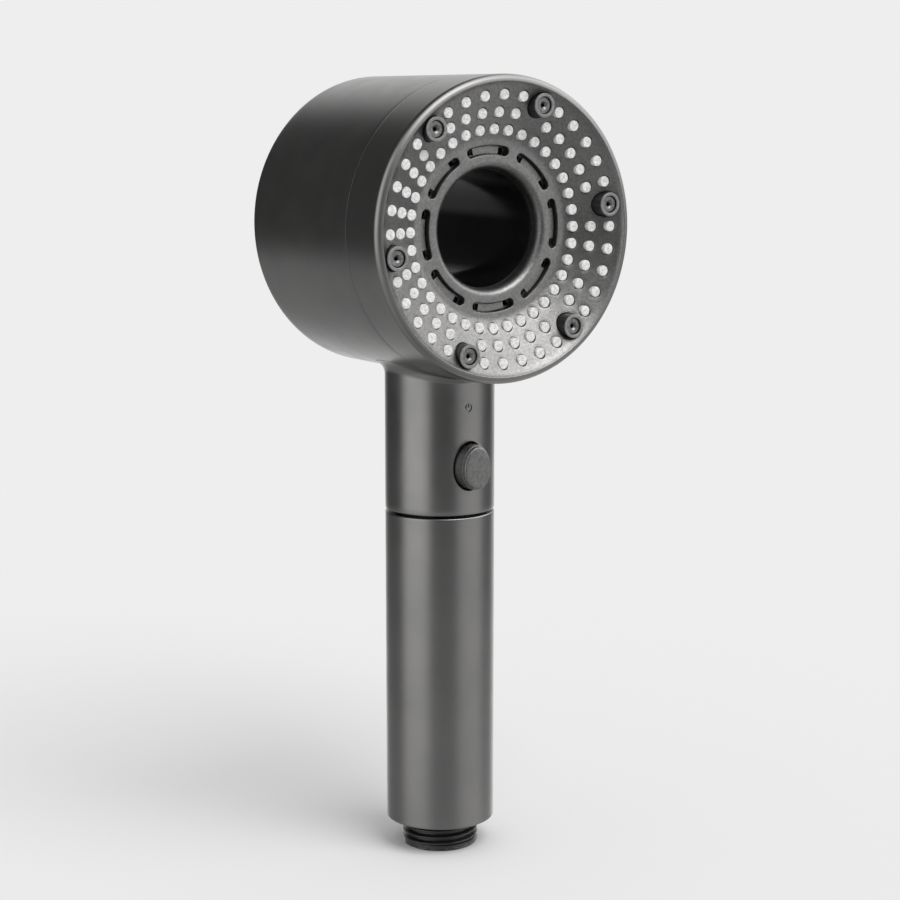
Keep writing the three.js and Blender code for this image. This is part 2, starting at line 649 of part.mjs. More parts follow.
// A ring-shaped cup, open to the front, with a socket for the riser below.
function waterChamber() {
  const [front, back] = CHAMBER_Y;
  const inner = LINER_RADIUS + 0.6;
  const outer = CHAMBER_OUTER_RADIUS;
  const cup = headTurned([
    [inner, front], [inner + CHAMBER_WALL, front],
    [inner + CHAMBER_WALL, back - CHAMBER_WALL], [outer - CHAMBER_WALL, back - CHAMBER_WALL],
    [outer - CHAMBER_WALL, front], [outer, front],
    [outer, back], [inner, back],
  ]);
  const wallZ = HEAD_AXIS_Z - outer;
  const socket = rodZ(7.0, [RISER_Z[1] - 7.5, wallZ + 1.2], 24);
  const socketBore = rodZ(RISER_RADIUS + 0.4, [RISER_Z[1] - 9, RISER_Z[1] + 0.4], 24);
  const inlet = rodZ(RISER_BORE, [RISER_Z[1], wallZ + 6], 16);
  const screwHoles = aroundHead(SCREW_COUNT, SCREW_CIRCLE, 0, (x, z) => (
    rodY(1.4, [0, back + 1], 8, x, z)
  ));
  return cup.add(socket).subtract(joined([socketBore, inlet, ...screwHoles]));
}

// A pan-head screw with a cross recess, driven from behind into a diverter post.
function chamberScrew(x, z) {
  const headY = [CHAMBER_Y[1] + CLEARANCE, CHAMBER_Y[1] + 2.1];
  const recessY = [headY[1] - 0.9, headY[1] + 1];
  const [bladeLength, bladeWidth] = [1.4, 0.35];
  const shank = rodY(0.95, [1.5, headY[0] + 0.5], 8, x, z);
  const head = rodY(2.6, headY, 12, x, z);
  const cross = [[bladeLength, bladeWidth], [bladeWidth, bladeLength]].map(([alongX, alongZ]) => (
    box([x - alongX, x + alongX], recessY, [z - alongZ, z + alongZ])
  ));
  return shank.add(head).subtract(joined(cross));
}

// ---------------------------------------------------------------- neck and stop valve

// The tube that carries water up from the valve, with a seal groove near each end.
function riserTube() {
  const [low, high] = RISER_Z;
  const groove = RISER_RADIUS - 0.8;
  const lowGroove = [low + 0.9, low + 2.3];
  const highGroove = [high - 4.3, high - 2.9];
  return handleTurned([
    [RISER_BORE, low], [RISER_RADIUS, low],
    [RISER_RADIUS, lowGroove[0]], [groove, lowGroove[0]],
    [groove, lowGroove[1]], [RISER_RADIUS, lowGroove[1]],
    [RISER_RADIUS, highGroove[0]], [groove, highGroove[0]],
    [groove, highGroove[1]], [RISER_RADIUS, highGroove[1]],
    [RISER_RADIUS, high], [RISER_BORE, high],
  ], 16);
}

const riserSeal = (z) => handleTurned(sealSection(RISER_RADIUS - 0.25, z, 0.42), 16);

// The block in the neck: water enters below the button's bore and leaves above it.
function valveBody() {
  const [low, high] = VALVE_Z;
  const block = rodZ(VALVE_RADIUS, [low, high], INNER_SIDES);
  const buttonRoom = box([-20, 20], [-20, -6.9], [low - 1, high + 1]);
  const rear = VALVE_RADIUS + 1;
  const [seatFront, seatBack] = VALVE_SEAT_Y;
  const bores = joined([
    rodY(VALVE_BORE, [-8, seatFront], 16, 0, BUTTON_Z),
    rodY(2.4, [seatFront - 1, seatBack + 1], 12, 0, BUTTON_Z),
    rodY(VALVE_BORE, [seatBack, rear], 16, 0, BUTTON_Z),
    rodZ(1.7, [low - 1, BUTTON_Z], 10, 0, -2.9),
    rodZ(2.2, [BUTTON_Z, high], 10, 0, 3.4),
    rodZ(RISER_RADIUS + 0.4, [RISER_Z[0] - CLEARANCE, high + 1], 20),
  ]);
  return block.subtract(buttonRoom).subtract(bores);
}

// Closes the valve's bore behind the return spring.
const valvePlug = () => rodY(VALVE_BORE - 0.35, [10.8, 11.8], 16, 0, BUTTON_Z);

// An oval key with a narrower top; the flange keeps it behind the neck's wall.
function stopButton() {
  const [flangeFront, flangeBack] = BUTTON_FLANGE_Y;
  const layers = [
    { grow: -0.6, from: BUTTON_TOP_Y, to: BUTTON_TOP_Y + BUTTON_STEP + 0.5 },
    { grow: 0, from: BUTTON_TOP_Y + BUTTON_STEP, to: flangeFront + 0.5 },
    { grow: 1.6, from: flangeFront, to: flangeBack },
  ].map(({ grow, from, to }) => (
    prismY(oval(BUTTON_WIDTH + grow, BUTTON_HEIGHT + grow), [from, to], BUTTON_Z)
  ));
  const stemSocket = rodY(1.95, [-13.4, flangeBack + 1], 10, 0, BUTTON_Z);
  return joined(layers).subtract(stemSocket);
}

// Stem, piston and spring seat in one; the piston closes on the seat when it is pushed.
function valveSpool() {
  const [stem, piston, grooveFloor, rod, springSeat] = [1.6, VALVE_BORE - 0.35, 2.75, 1.1, 1.9];
  const [pistonFront, grooveFront, grooveBack, pistonBack] = [-6.5, -5.9, -4.9, -4.4];
  const outline = [
    [0, -13.0], [stem, -13.0], [stem, pistonFront],
    [piston, pistonFront], [piston, grooveFront], [grooveFloor, grooveFront],
    [grooveFloor, grooveBack], [piston, grooveBack], [piston, pistonBack],
    [rod, pistonBack], [rod, 4.0], [springSeat, 4.0], [springSeat, 5.0], [0, 5.0],
  ];
  return solid(turned(outline, 16).translate(0, 0, BUTTON_Z));
}

const spoolSeal = () => solid(turned(sealSection(3.3, -5.4, 0.4), 16).translate(0, 0, BUTTON_Z));

const seatWasher = () => (
  solid(turned(ringSection(1.5, 3.3, -4.15, -3.55), 16).translate(0, 0, BUTTON_Z))
);

const returnSpring = () => coilSpring(1.9, 0.3, 3, [5.3, 10.5], 0, BUTTON_Z);

// The tail of the neck that the grip screws on to; its thread is left plain.
function neckSpigot() {
  const [low, high] = SPIGOT_Z;
  const [grooveLow, grooveHigh] = [low + 2.6, low + 4.8];
  const grooveFloor = SPIGOT_RADIUS - 1.3;
  return handleTurned([
    [SPIGOT_BORE, low], [SPIGOT_RADIUS, low],
    [SPIGOT_RADIUS, grooveLow], [grooveFloor, grooveLow],
    [grooveFloor, grooveHigh], [SPIGOT_RADIUS, grooveHigh],
    [SPIGOT_RADIUS, high], [SPIGOT_BORE, high],
  ], CONNECTOR_SIDES);
}

const spigotSeal = () => handleTurned(sealSection(11.9, SPIGOT_Z[0] + 3.7, 0.75), CONNECTOR_SIDES);

// ---------------------------------------------------------------- filter

// Closes the filter and carries it: its nose slides in the spigot, sealed by one ring.
function filterCapTop() {
  const [low, high] = [FILTER_Z[1] + CLEARANCE, FILTER_Z[1] + 3.3];
  const noseTop = high + 9.5;
  const [grooveLow, grooveHigh] = [high + 5, high + 6.6];
  const [nose, grooveFloor] = [FILTER_NOSE_RADIUS, FILTER_NOSE_RADIUS - 0.9];
  const [outlet, noseBore] = [4.0, 5.6];
  return handleTurned([
    [outlet, low], [FILTER_RADIUS, low], [FILTER_RADIUS, high], [nose, high],
    [nose, grooveLow], [grooveFloor, grooveLow], [grooveFloor, grooveHigh], [nose, grooveHigh],
    [nose, noseTop], [noseBore, noseTop], [noseBore, high], [outlet, high],
  ], CONNECTOR_SIDES);
}

const filterSeal = () => handleTurned(sealSection(7.75, FILTER_Z[1] + 9.1, 0.5), CONNECTOR_SIDES);

// The perforated tube inside the filter's cotton.
function filterCore() {
  const [low, high] = FILTER_Z;
  const [firstHole, holePitch] = [13, 26];
  const tube = handleTurned(ringSection(CORE_RADIUS - 1.2, CORE_RADIUS, low, high), 16);
  const holes = [];
  for (let z = low + firstHole; z < high; z += holePitch) {
    for (const direction of [0, Math.PI / 2]) {
      const hole = new THREE.CylinderGeometry(1.2, 1.2, 3 * CORE_RADIUS, 4);
      holes.push(solid(hole.rotateZ(direction).translate(0, 0, z)));
    }
  }
  return tube.subtract(joined(holes));
}

const filterMedia = () => (
  handleTurned(ringSection(CORE_RADIUS + CLEARANCE, FILTER_RADIUS, ...FILTER_Z), CONNECTOR_SIDES)
);

// The filter's blind end, standing on the connector on four feet that leave the water a way past.
function filterCapBottom() {
  const high = FILTER_Z[0] - CLEARANCE;
  const low = high - 2.5;
  const footCircle = 9;
  const disc = rodZ(FILTER_RADIUS, [low, high], CONNECTOR_SIDES);
  const feet = [45, 135, 225, 315].map((degrees) => {
    const place = [footCircle * Math.cos(degrees * RAD), footCircle * Math.sin(degrees * RAD)];
    return rodZ(1.4, [CONNECTOR_TOP_Z + CLEARANCE, low + 0.5], 8, ...place);
  });
  return joined([disc, ...feet]);
}

// ---------------------------------------------------------------- grip and hose end

function gripSleeve() {
  const [low, high] = GRIP_Z;
  const chamfer = 0.4;
  const mouth = GRIP_MOUTH_RADIUS;
  const floor = low + GRIP_FLOOR;
  return handleTurned([
    [mouth, low], [GRIP_RADIUS - chamfer, low], [GRIP_RADIUS, low + chamfer],
    [GRIP_RADIUS, high - chamfer], [GRIP_RADIUS - chamfer, high],
    [GRIP_BORE, high], [GRIP_BORE, floor], [mouth, floor],
  ], HEAD_SIDES);
}

// The section of the hose thread, kept to plain ridges of its true pitch and depth.
function threadSection() {
  const ridgeHalfWidth = 0.46 * THREAD_PITCH;
  const points = [];
  for (let i = 0; i < THREAD_TURNS; i += 1) {
    const middle = THREAD_START_Z + i * THREAD_PITCH;
    points.push(
      [THREAD_ROOT, middle - ridgeHalfWidth],
      [THREAD_RADIUS, middle],
      [THREAD_ROOT, middle + ridgeHalfWidth],
    );
  }
  return points;
}

// The hose end: thread, neck through the grip's floor, and a flange with a screen seat inside.
function hoseConnector() {
  const flangeLow = GRIP_Z[0] + GRIP_FLOOR + CLEARANCE;
  const flangeHigh = flangeLow + CONNECTOR_FLANGE_THICKNESS;
  const tailRadius = 11.2;
  const tailBore = 6.4;
  return handleTurned([
    [CONNECTOR_BORE, 0], [THREAD_ROOT - 0.2, 0],
    ...threadSection(),
    [THREAD_ROOT, 7.5], [CONNECTOR_NECK_RADIUS, 7.7],
    [CONNECTOR_NECK_RADIUS, flangeLow], [CONNECTOR_FLANGE_RADIUS, flangeLow],
    [CONNECTOR_FLANGE_RADIUS, flangeHigh], [tailRadius, flangeHigh],
    [tailRadius, CONNECTOR_TOP_Z], [tailBore, CONNECTOR_TOP_Z],
    [tailBore, flangeLow + CLEARANCE], [CONNECTOR_BORE, flangeLow + CLEARANCE],
  ], CONNECTOR_SIDES);
}

// A disc with square openings, under the ledge inside the connector.
function inletScreen() {
  const top = GRIP_Z[0] + GRIP_FLOOR + CLEARANCE;
  const bottom = top - 0.8;
  const pitch = 3.2;
  const halfOpening = 1.2;
  const around = (middle) => [middle - halfOpening, middle + halfOpening];
  const holes = [];
  for (const x of [-pitch, 0, pitch]) {
    for (const y of [-pitch, 0, pitch]) {
      holes.push(box(around(x), around(y), [bottom - 1, top + 1]));
    }
  }
  return rodZ(CONNECTOR_BORE - 0.4, [bottom, top], 16).subtract(joined(holes));
}

// A disc with five small holes that limits the flow.
function flowRestrictor() {
  const [bottom, top] = [13.0, 15.5];
  const holeCircle = 3.4;
  const holes = [0, 72, 144, 216, 288].map((degrees) => {
    const place = [holeCircle * Math.cos(degrees * RAD), holeCircle * Math.sin(degrees * RAD)];
    return rodZ(0.9, [bottom - 1, top + 1], 6, ...place);
  });
  return rodZ(6.0, [bottom, top], 16).subtract(joined(holes));
}

// The washer on the connector's flange, against the grip's bore.
const connectorGasket = () => (
  handleTurned(ringSection(11.5, CONNECTOR_FLANGE_RADIUS, 14.7, 16.2), CONNECTOR_SIDES)
);

// ---------------------------------------------------------------- assembly

const group = new THREE.Group();

function addPart(name, piece, material) {
  const mesh = new THREE.Mesh(toGeometry(piece), material.clone());
  mesh.name = name;
  group.add(mesh);
}

// Turning face
addPart('face_shell', faceShell(), MATERIALS.paintedShell);
addPart('nozzle_mat', nozzleMat(), MATERIALS.silicone);
addPart('jet_manifold', jetManifold(), MATERIALS.blackPlastic);
addPart('selector_plate', selectorPlate(), MATERIALS.innerPlastic);
aroundHead(JET_COUNT, JET_CIRCLE, JET_START, (x, z, i) => (
  addPart(`jet_insert_${i + 1}`, jetInsert(x, z), MATERIALS.blackPlastic)
));

// Fixed head
addPart('head_casing', headCasing(), MATERIALS.paintedShell);
addPart('rear_cover', rearCover(), MATERIALS.paintedShell);
addPart('bore_liner', boreLiner(), MATERIALS.glossBlack);
addPart('retaining_ring', retainingRing(), MATERIALS.steel);
addPart('diverter_plate', diverterPlate(), MATERIALS.innerPlastic);
MODE_PORTS.forEach((port) => addPart(`${port.name}_port_seal`, portSeal(port), MATERIALS.rubber));
addPart('detent_ball', detentBall(), MATERIALS.steel);
addPart('detent_spring', detentSpring(), MATERIALS.steel);
addPart('water_chamber', waterChamber(), MATERIALS.innerPlastic);
aroundHead(SCREW_COUNT, SCREW_CIRCLE, 0, (x, z, i) => (
  addPart(`chamber_screw_${i + 1}`, chamberScrew(x, z), MATERIALS.steel)
));

// Neck and stop valve
addPart('riser_tube', riserTube(), MATERIALS.innerPlastic);
addPart('riser_seal_lower', riserSeal(RISER_Z[0] + 1.6), MATERIALS.rubber);
addPart('riser_seal_upper', riserSeal(RISER_Z[1] - 3.6), MATERIALS.rubber);
addPart('valve_body', valveBody(), MATERIALS.innerPlastic);
addPart('valve_plug', valvePlug(), MATERIALS.innerPlastic);
addPart('stop_button', stopButton(), MATERIALS.paintedShell);
addPart('valve_spool', valveSpool(), MATERIALS.innerPlastic);
addPart('spool_seal', spoolSeal(), MATERIALS.rubber);
addPart('seat_washer', seatWasher(), MATERIALS.rubber);
addPart('return_spring', returnSpring(), MATERIALS.steel);
addPart('neck_spigot', neckSpigot(), MATERIALS.blackPlastic);
addPart('spigot_seal', spigotSeal(), MATERIALS.rubber);

// Filter
addPart('filter_cap_top', filterCapTop(), MATERIALS.innerPlastic);
addPart('filter_seal', filterSeal(), MATERIALS.rubber);
addPart('filter_core', filterCore(), MATERIALS.innerPlastic);
addPart('filter_media', filterMedia(), MATERIALS.filterCotton);
addPart('filter_cap_bottom', filterCapBottom(), MATERIALS.innerPlastic);

// Grip
addPart('grip_sleeve', gripSleeve(), MATERIALS.paintedShell);
addPart('hose_connector', hoseConnector(), MATERIALS.blackPlastic);
addPart('inlet_screen', inletScreen(), MATERIALS.steel);
addPart('flow_restrictor', flowRestrictor(), MATERIALS.innerPlastic);
addPart('connector_gasket', connectorGasket(), MATERIALS.rubber);

export default group;
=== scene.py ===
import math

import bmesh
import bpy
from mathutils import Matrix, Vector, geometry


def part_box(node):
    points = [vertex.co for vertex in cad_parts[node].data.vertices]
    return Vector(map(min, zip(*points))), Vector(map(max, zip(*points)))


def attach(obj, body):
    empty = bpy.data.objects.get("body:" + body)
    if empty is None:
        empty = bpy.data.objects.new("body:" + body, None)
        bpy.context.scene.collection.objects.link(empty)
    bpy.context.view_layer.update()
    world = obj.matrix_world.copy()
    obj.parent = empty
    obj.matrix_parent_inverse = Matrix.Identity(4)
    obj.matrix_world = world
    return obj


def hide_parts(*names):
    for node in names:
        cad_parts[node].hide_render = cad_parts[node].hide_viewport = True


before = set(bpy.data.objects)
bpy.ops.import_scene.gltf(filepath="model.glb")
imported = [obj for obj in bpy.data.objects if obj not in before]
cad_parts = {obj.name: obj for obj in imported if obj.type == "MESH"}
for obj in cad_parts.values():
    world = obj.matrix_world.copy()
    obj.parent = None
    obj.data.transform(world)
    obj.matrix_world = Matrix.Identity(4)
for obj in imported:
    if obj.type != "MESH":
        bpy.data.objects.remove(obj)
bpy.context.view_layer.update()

# Looks of the handheld shower head, built round its CAD nodes. Sizes are millimetres in the
# CAD frame: the origin is on the handle's axis at the end of the hose thread, +Z up, and the
# spray leaves towards -Y. Meshes are scaled to metres when they are made.

MM = 0.001
FULL_TURN = 2 * math.pi
WELD = 0.002                 # points nearer than this become one
X, Y, Z = range(3)


def span(node, axis):
    """Where a CAD node starts and ends along one axis."""
    low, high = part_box(node)
    return low[axis] / MM, high[axis] / MM


# ---------------- sizes

# Head
HEAD_AXIS_Z = 173.4
HEAD_RADIUS = 39.8
DRUM_WALL = 2.2
FACE_Y = span("face_shell", Y)[0]
REAR_Y = span("head_casing", Y)[1]
REAR_ROUNDING = 1.5
SEAM_Y = -17.3
SEAM_GAP = 0.12
EDGE = 0.04                  # softness of the two edges at the seam
HEAD_COLUMNS = 180           # columns of faces round the drum and the neck
FACE_COLUMNS = 240           # and round the turning face

# Turning face
CREST_RADIUS = 37.95
RIM_ROUNDING = 1.75
CONE_RADIUS = 37.4
CONE_SLOPE = 0.517
HUB_RADIUS = 23.5
HUB_DEPTH = 8.0
HUB_BLEND = 0.3              # softness of the bend between hub and cone
HUB_THICKNESS = 3.2
FACE_THICKNESS = 1.9
LIP_OUTER = 17.6
LIP_INNER = 15.6
LIP_DEPTH = 2.7
LIP_LAND = 1.2
LINER_ROOM = 16.9
SKIRT = (36.9, 38.0)
SKIRT_END_Y = -9.7
HUB_ROWS = (18.1, 18.9, 19.7, 20.5, 21.3, 22.0, 22.5, 22.9, 23.2, 23.5, 23.8, 24.1, 24.6)
CONE_ROWS = tuple(25.3 + 0.85 * i for i in range(14))
HOLE_EDGE = 0.12             # rounding of a hole's rim
CLOSE = 0.1                  # margin of the cuts that have no room for a wider one
GRAIN_END = (37.6, 38.6)     # radii between which the dish's coarse grain dies out
SHEEN_START = (39.2, 39.79)  # radii between which the rim takes on the side's sheen

# Outlets
NOZZLE_RADIUS = 1.43
NOZZLE_TIP_RADIUS = 1.41
NOZZLE_HOLE_RADIUS = 1.54
NOZZLE_TIP_HEIGHT = 0.9
NOZZLE_OUTLET = (0.12, 0.09, 0.3)  # radius of the mouth and the bore, and depth
# radius of each ring, how far its tips lie behind the rim, and whether posts interrupt it
NOZZLE_RINGS = ((25.84, 6.35, False), (30.23, 4.15, True), (34.68, 1.85, True))
NOZZLE_PITCH = 10
JET_ANGLES = tuple(range(10, 370, 60))
JET_CIRCLE = 33.87
POST_RADIUS = 3.15
POST_HOLE_RADIUS = 3.32
POST_TIP_Y = FACE_Y + 0.3
POST_MOUTH_RADIUS = 2.25
POST_MOUTH_DEPTH = 2.8
POST_BORE = 1.5
JET_TIP_HEIGHT = 2.15
JET_ORIFICE = 0.55
MAT_GAP = 0.3                # room between the face and the silicone mat
MAT_THICKNESS = 1.6
MANIFOLD_RADIUS = 36.6
MANIFOLD_FRONT, MANIFOLD_BACK = -17.5, -15.9
SLOT_MIDDLES = tuple(2.5 + 45 * i for i in range(8))
SLOT_HALF_SPAN = 15.0
SLOT_RADIUS = 20.5
SLOT_WIDTH = 2.5
SLOT_DEPTH = 2.5
SLOT_BAR = (11.2, 1.7, 1.35) # half span, width and depth of the bar standing on its floor
MIST_WINDOW = (12.2, 16.6, 1.8)  # from, to and width of the opening at each end

# Bore
BORE_RADIUS = 15.4
LINER_RADIUS = 16.6
CLEAR_OF_LINER = LINER_RADIUS + 0.4
LINER_COLLAR = (9.8, 11.4, 3)  # where the collar round it starts and ends, and its height
COVER_RADIUS = HEAD_RADIUS - 2.6
COVER_Y = REAR_Y - 0.3

# Neck and button
NECK_RADIUS = 15.0
NECK_BORE = 12.9
NECK_BOTTOM_Z = span("head_casing", Z)[0]
NECK_TOP_Z = 127.5
NECK_ROUNDING = 0.4
BALL_SIDE = 4.0              # radius of the blend beside the neck
BALL_FRONT = 1.8             # and in front of and behind it
BLEND_STEPS = 12             # even steps across the blend
FOOT_ROW = 0.55              # distance of the first row of points from the blend's foot
BUTTON_Z = 109.5
BUTTON_HOLE = (4.98, 6.72)   # half width and half height of the oval opening
BUTTON_BASE = (4.52, 6.15)
BUTTON_TOP_Y, BUTTON_BACK_Y = span("stop_button", Y)
BUTTON_STEP_Y = BUTTON_TOP_Y + 1.1
BUTTON_STEP = 0.28           # how far the key stands in from its base
BUTTON_CROWN = (1.5, 0.04)   # inset and depth of the edge of its crowned top
OVAL_COLUMNS = 72
OVAL_TAPER = 0.08
MARK_CENTRE = (-0.7, 125.4)
MARK_RADII = (0.7, 1.14)
MARK_BAR = (0.2, 0.1, 0.6, 1.15)  # half width, foot, middle and top above the centre
MARK_DEPTH = 0.26

# Grip and hose end
GRIP_RADIUS = 15.0
GRIP_BORE = 13.0
GRIP_LOW, GRIP_HIGH = span("grip_sleeve", Z)
GRIP_FLOOR = 3.1
GRIP_MOUTH = 10.95
THREAD_CREST = 10.478
THREAD_ROOT = 9.2
THREAD_PITCH = 1.814
THREAD_END = 7.3             # the thread has run out here
THREAD_EDGE = 0.5            # rounding of the thread's lower end
COLLAR_RADIUS = 10.3         # of the plain collars below and above the thread
WASHER_BORE = 7.2
FLANGE_RADIUS = 12.6
FLANGE_LOW, FLANGE_HIGH = 11.26, 14.26
TAIL_RADIUS = 11.2
TAIL_BORE = 6.4
TAIL_TOP = 19.0
SPIGOT_LOW, SPIGOT_HIGH = span("neck_spigot", Z)
SPIGOT_RADIUS = 12.4
SPIGOT_BORE = 8.5
SPIGOT_PITCH = 2.0
# heights where these begin, are full, start to fade and have ended
SPIGOT_THREAD = (86.0, 87.0, 94.4, 95.2)
SPIGOT_GROOVE = (82.9, 83.1, 85.3, 85.5)
SPIGOT_THREAD_DEPTH = 0.9
SPIGOT_GROOVE_DEPTH = 1.3


# ---------------- mesh tools


def add_object(name, data):
    made = bpy.data.objects.new(name, data)
    bpy.context.scene.collection.objects.link(made)
    return made


class Shape:
    """Points in millimetres and the faces between them."""

    def __init__(self):
        self.points = []
        self.faces = []

    def ring(self, points):
        first = len(self.points)
        self.points.extend(points)
        return range(first, len(self.points))

    def bridge(self, lower, upper):
        for i, here in enumerate(lower):
            after = (i + 1) % len(lower)
            self.faces.append((here, lower[after], upper[after], upper[i]))

    def stack(self, loops, closed=False):
        """Rings of equal length, each joined to the next."""
        rings = [self.ring(loop) for loop in loops]
        for lower, upper in zip(rings, rings[1:]):
            self.bridge(lower, upper)
        if closed:
            self.bridge(rings[-1], rings[0])

    def turn(self, outline, place, columns, closed=True):
        """An outline of (radius, height) turned about an axis."""
        self.stack([ring_of(place, radius, height, columns) for radius, height in outline], closed)

    def to_object(self, name, material, body, slot, nodes, sharp=40):
        mesh = bpy.data.meshes.new(name)
        mesh.from_pydata([[c * MM for c in point] for point in self.points], [], self.faces)
        work = bmesh.new()
        work.from_mesh(mesh)
        bmesh.ops.remove_doubles(work, verts=work.verts, dist=WELD * MM)
        bmesh.ops.dissolve_degenerate(work, dist=0.001 * MM, edges=work.edges)
        bmesh.ops.recalc_face_normals(work, faces=work.faces)
        work.to_mesh(mesh)
        work.free()
        mesh.shade_smooth()
        mesh.set_sharp_from_angle(angle=math.radians(sharp))
        mesh.materials.append(material)
        made = add_object(name, mesh)
        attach(made, body)
        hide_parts(*nodes)
        return made


def on_head(radius, angle, height):
    return radius * math.cos(angle), height, HEAD_AXIS_Z + radius * math.sin(angle)


def on_handle(radius, angle, height):
    return radius * math.cos(angle), radius * math.sin(angle), height

def on_rod(x, z):
    """Places round an axis along Y through x and z."""

    def place(radius, angle, height):
        return x + radius * math.cos(angle), height, z + radius * math.sin(angle)

    return place


def ring_of(place, radius, height, columns):
    """A circle of points about an axis."""
    return [place(radius, FULL_TURN * i / columns, height) for i in range(columns)]


def face_point(radius, degrees):
    angle = math.radians(degrees)
    return radius * math.cos(angle), HEAD_AXIS_Z + radius * math.sin(angle)


def held(outline, reach=0.25):
    """The outline with extra points near the ends of its long straights, to keep them flat."""
    result = outline[:1]
    for here, after in zip(outline, outline[1:]):
        start, end = Vector(here), Vector(after)
        if (end - start).length > 5 * reach:
            along = (end - start).normalized() * reach
            result += [tuple(start + along), tuple(end - along)]
        result.append(after)
    return result


def rounded(outline, steps=5):
    """A closed outline of (radius, height) or (radius, height, corner radius)."""
    result = []
    for i, corner in enumerate(outline):
        here = Vector(corner[:2])
        if len(corner) == 2:
            result.append(tuple(here))
            continue
        before = (Vector(outline[i - 1][:2]) - here).normalized()
        after = (Vector(outline[(i + 1) % len(outline)][:2]) - here).normalized()
        half = before.angle(after) / 2
        setback = corner[2] / math.tan(half)
        middle = here + (before + after).normalized() * corner[2] / math.sin(half)
        start = here + before * setback - middle
        end = here + after * setback - middle
        sweep = start.angle(end)
        for step in range(steps + 1):
            part = step / steps
            offset = start * math.sin((1 - part) * sweep) + end * math.sin(part * sweep)
            result.append(tuple(middle + offset / math.sin(sweep)))
    return held(result)


def unit(angle):
    """A direction in a flat chart."""
    return Vector((math.cos(angle), math.sin(angle)))


def circle(centre, radius, count):
    x, y = centre
    angles = [FULL_TURN * i / count for i in range(count)]
    return [Vector((x + radius * math.cos(angle), y + radius * math.sin(angle))) for angle in angles]


def oval(height, half_width, half_height):
    """An oval standing up round a height, a little narrower at its top."""
    points = []
    for i in range(OVAL_COLUMNS):
        angle = FULL_TURN * i / OVAL_COLUMNS
        across, up = math.cos(angle), math.sin(angle)
        points.append(Vector((half_width * across * (1 - OVAL_TAPER * up), height + half_height * up)))
    return points


def grown(loop, distance):
    """A loop moved outwards along its own normals."""
    if distance == 0:
        return list(loop)
    area = sum(loop[i - 1].cross(point) for i, point in enumerate(loop))
    way = math.copysign(distance, area)
    result = []
    for i, point in enumerate(loop):
        along = (loop[(i + 1) % len(loop)] - loop[i - 1]).normalized()
        result.append(point + Vector((along.y, -along.x)) * way)
    return result


def contains(loop, point):
    inside = False
    for i, here in enumerate(loop):
        before = loop[i - 1]
        if (here.y > point.y) != (before.y > point.y):
            crossing = here.x + (point.y - here.y) * (before.x - here.x) / (before.y - here.y)
            if point.x < crossing:
                inside = not inside
    return inside


class Cut:
    """A hole or a sunk area in a sheet, with a rounded rim."""

    def __init__(self, outline, edge=0.0, top=0.0, floor=None, margin=0.3):
        self.outline = outline
        self.edge = edge
        self.top = top
        self.floor = floor
        self.brim = grown(outline, edge)
        self.near = grown(outline, edge + margin)
        self.centre = sum(outline, Vector((0, 0))) / len(outline)
        self.reach = max((point - self.centre).length for point in self.near)

    def holds(self, loop, point):
        return (point - self.centre).length < self.reach and contains(loop, point)

    def wall(self, shape, place, bottom):
        """The rim and the side, down to the floor or the sheet's back."""
        steps = 4 if self.edge else 0
        loops = []
        for step in range(steps + 1):
            turn = math.pi / 2 * step / max(steps, 1)
            loop = grown(self.outline, self.edge * (1 - math.sin(turn)) if steps else 0)
            depth = self.top + self.edge * (1 - math.cos(turn))
            loops.append([place(point.x, point.y, depth) for point in loop])
        loops.append([place(point.x, point.y, bottom(point.x, point.y)) for point in self.outline])
        shape.stack(loops)


def sheet(shape, place, border, grid, cuts, back):
    """A surface over a flat chart with a convex border, with cuts in it and a back behind it.

    place(u, v, depth) is a chart point's place, so far below the surface; back(u, v) is how
    deep the back lies. Cuts are listed from the innermost to the outermost.
    """
    points = []
    edges = []

    def outline(loop):
        first = len(points)
        points.extend(loop)
        edges.extend((first + i, first + (i + 1) % len(loop)) for i in range(len(loop)))

    outline(border)
    for cut in cuts:
        outline(cut.outline)
        if cut.edge:
            outline(cut.brim)
    points.extend(point for point in grid if not any(cut.holds(cut.near, point) for cut in cuts))
    corners, _, triangles, *_ = geometry.delaunay_2d_cdt(points, edges, [], 0, 1e-5)

    layers = {}

    def corner(index, layer, depth):
        key = index, layer
        if key not in layers:
            u, v = corners[index]
            layers[key] = shape.ring([place(u, v, depth(u, v))])[0]
        return layers[key]

    for triangle in triangles:
        middle = sum((corners[i] for i in triangle), Vector((0, 0))) / 3
        around = [cut for cut in cuts if cut.holds(cut.brim, middle)]
        pierced = any(cut.floor is None and contains(cut.outline, middle) for cut in around)
        if not around:
            shape.faces.append([corner(i, "front", lambda u, v: 0.0) for i in triangle])
        elif around[0].floor is not None and contains(around[0].outline, middle):
            floor = around[0].floor
            shape.faces.append([corner(i, floor, lambda u, v: floor) for i in triangle])
        if not pierced:
            shape.faces.append([corner(i, "back", back) for i in reversed(triangle)])
    for cut in cuts:
        cut.wall(shape, place, back if cut.floor is None else (lambda u, v, depth=cut.floor: depth))


def tube(shape, path, radius, sides=6):
    """A wire along a path of points, closed at both ends."""
    angles = [FULL_TURN * i / sides for i in range(sides)]
    loops = []
    for i, point in enumerate(path):
        along = (path[min(i + 1, len(path) - 1)] - path[max(i - 1, 0)]).normalized()
        side = along.cross(Vector((0, 0, 1))).normalized()
        up = side.cross(along)
        loops.append([
            point + side * radius * math.cos(angle) + up * radius * math.sin(angle) for angle in angles
        ])
    loops.insert(0, [path[0]] * sides)
    loops.append([path[-1]] * sides)
    shape.stack(loops)


def smoothstep(low, high, value):
    part = min(max((value - low) / (high - low), 0.0), 1.0)
    return part * part * (3 - 2 * part)


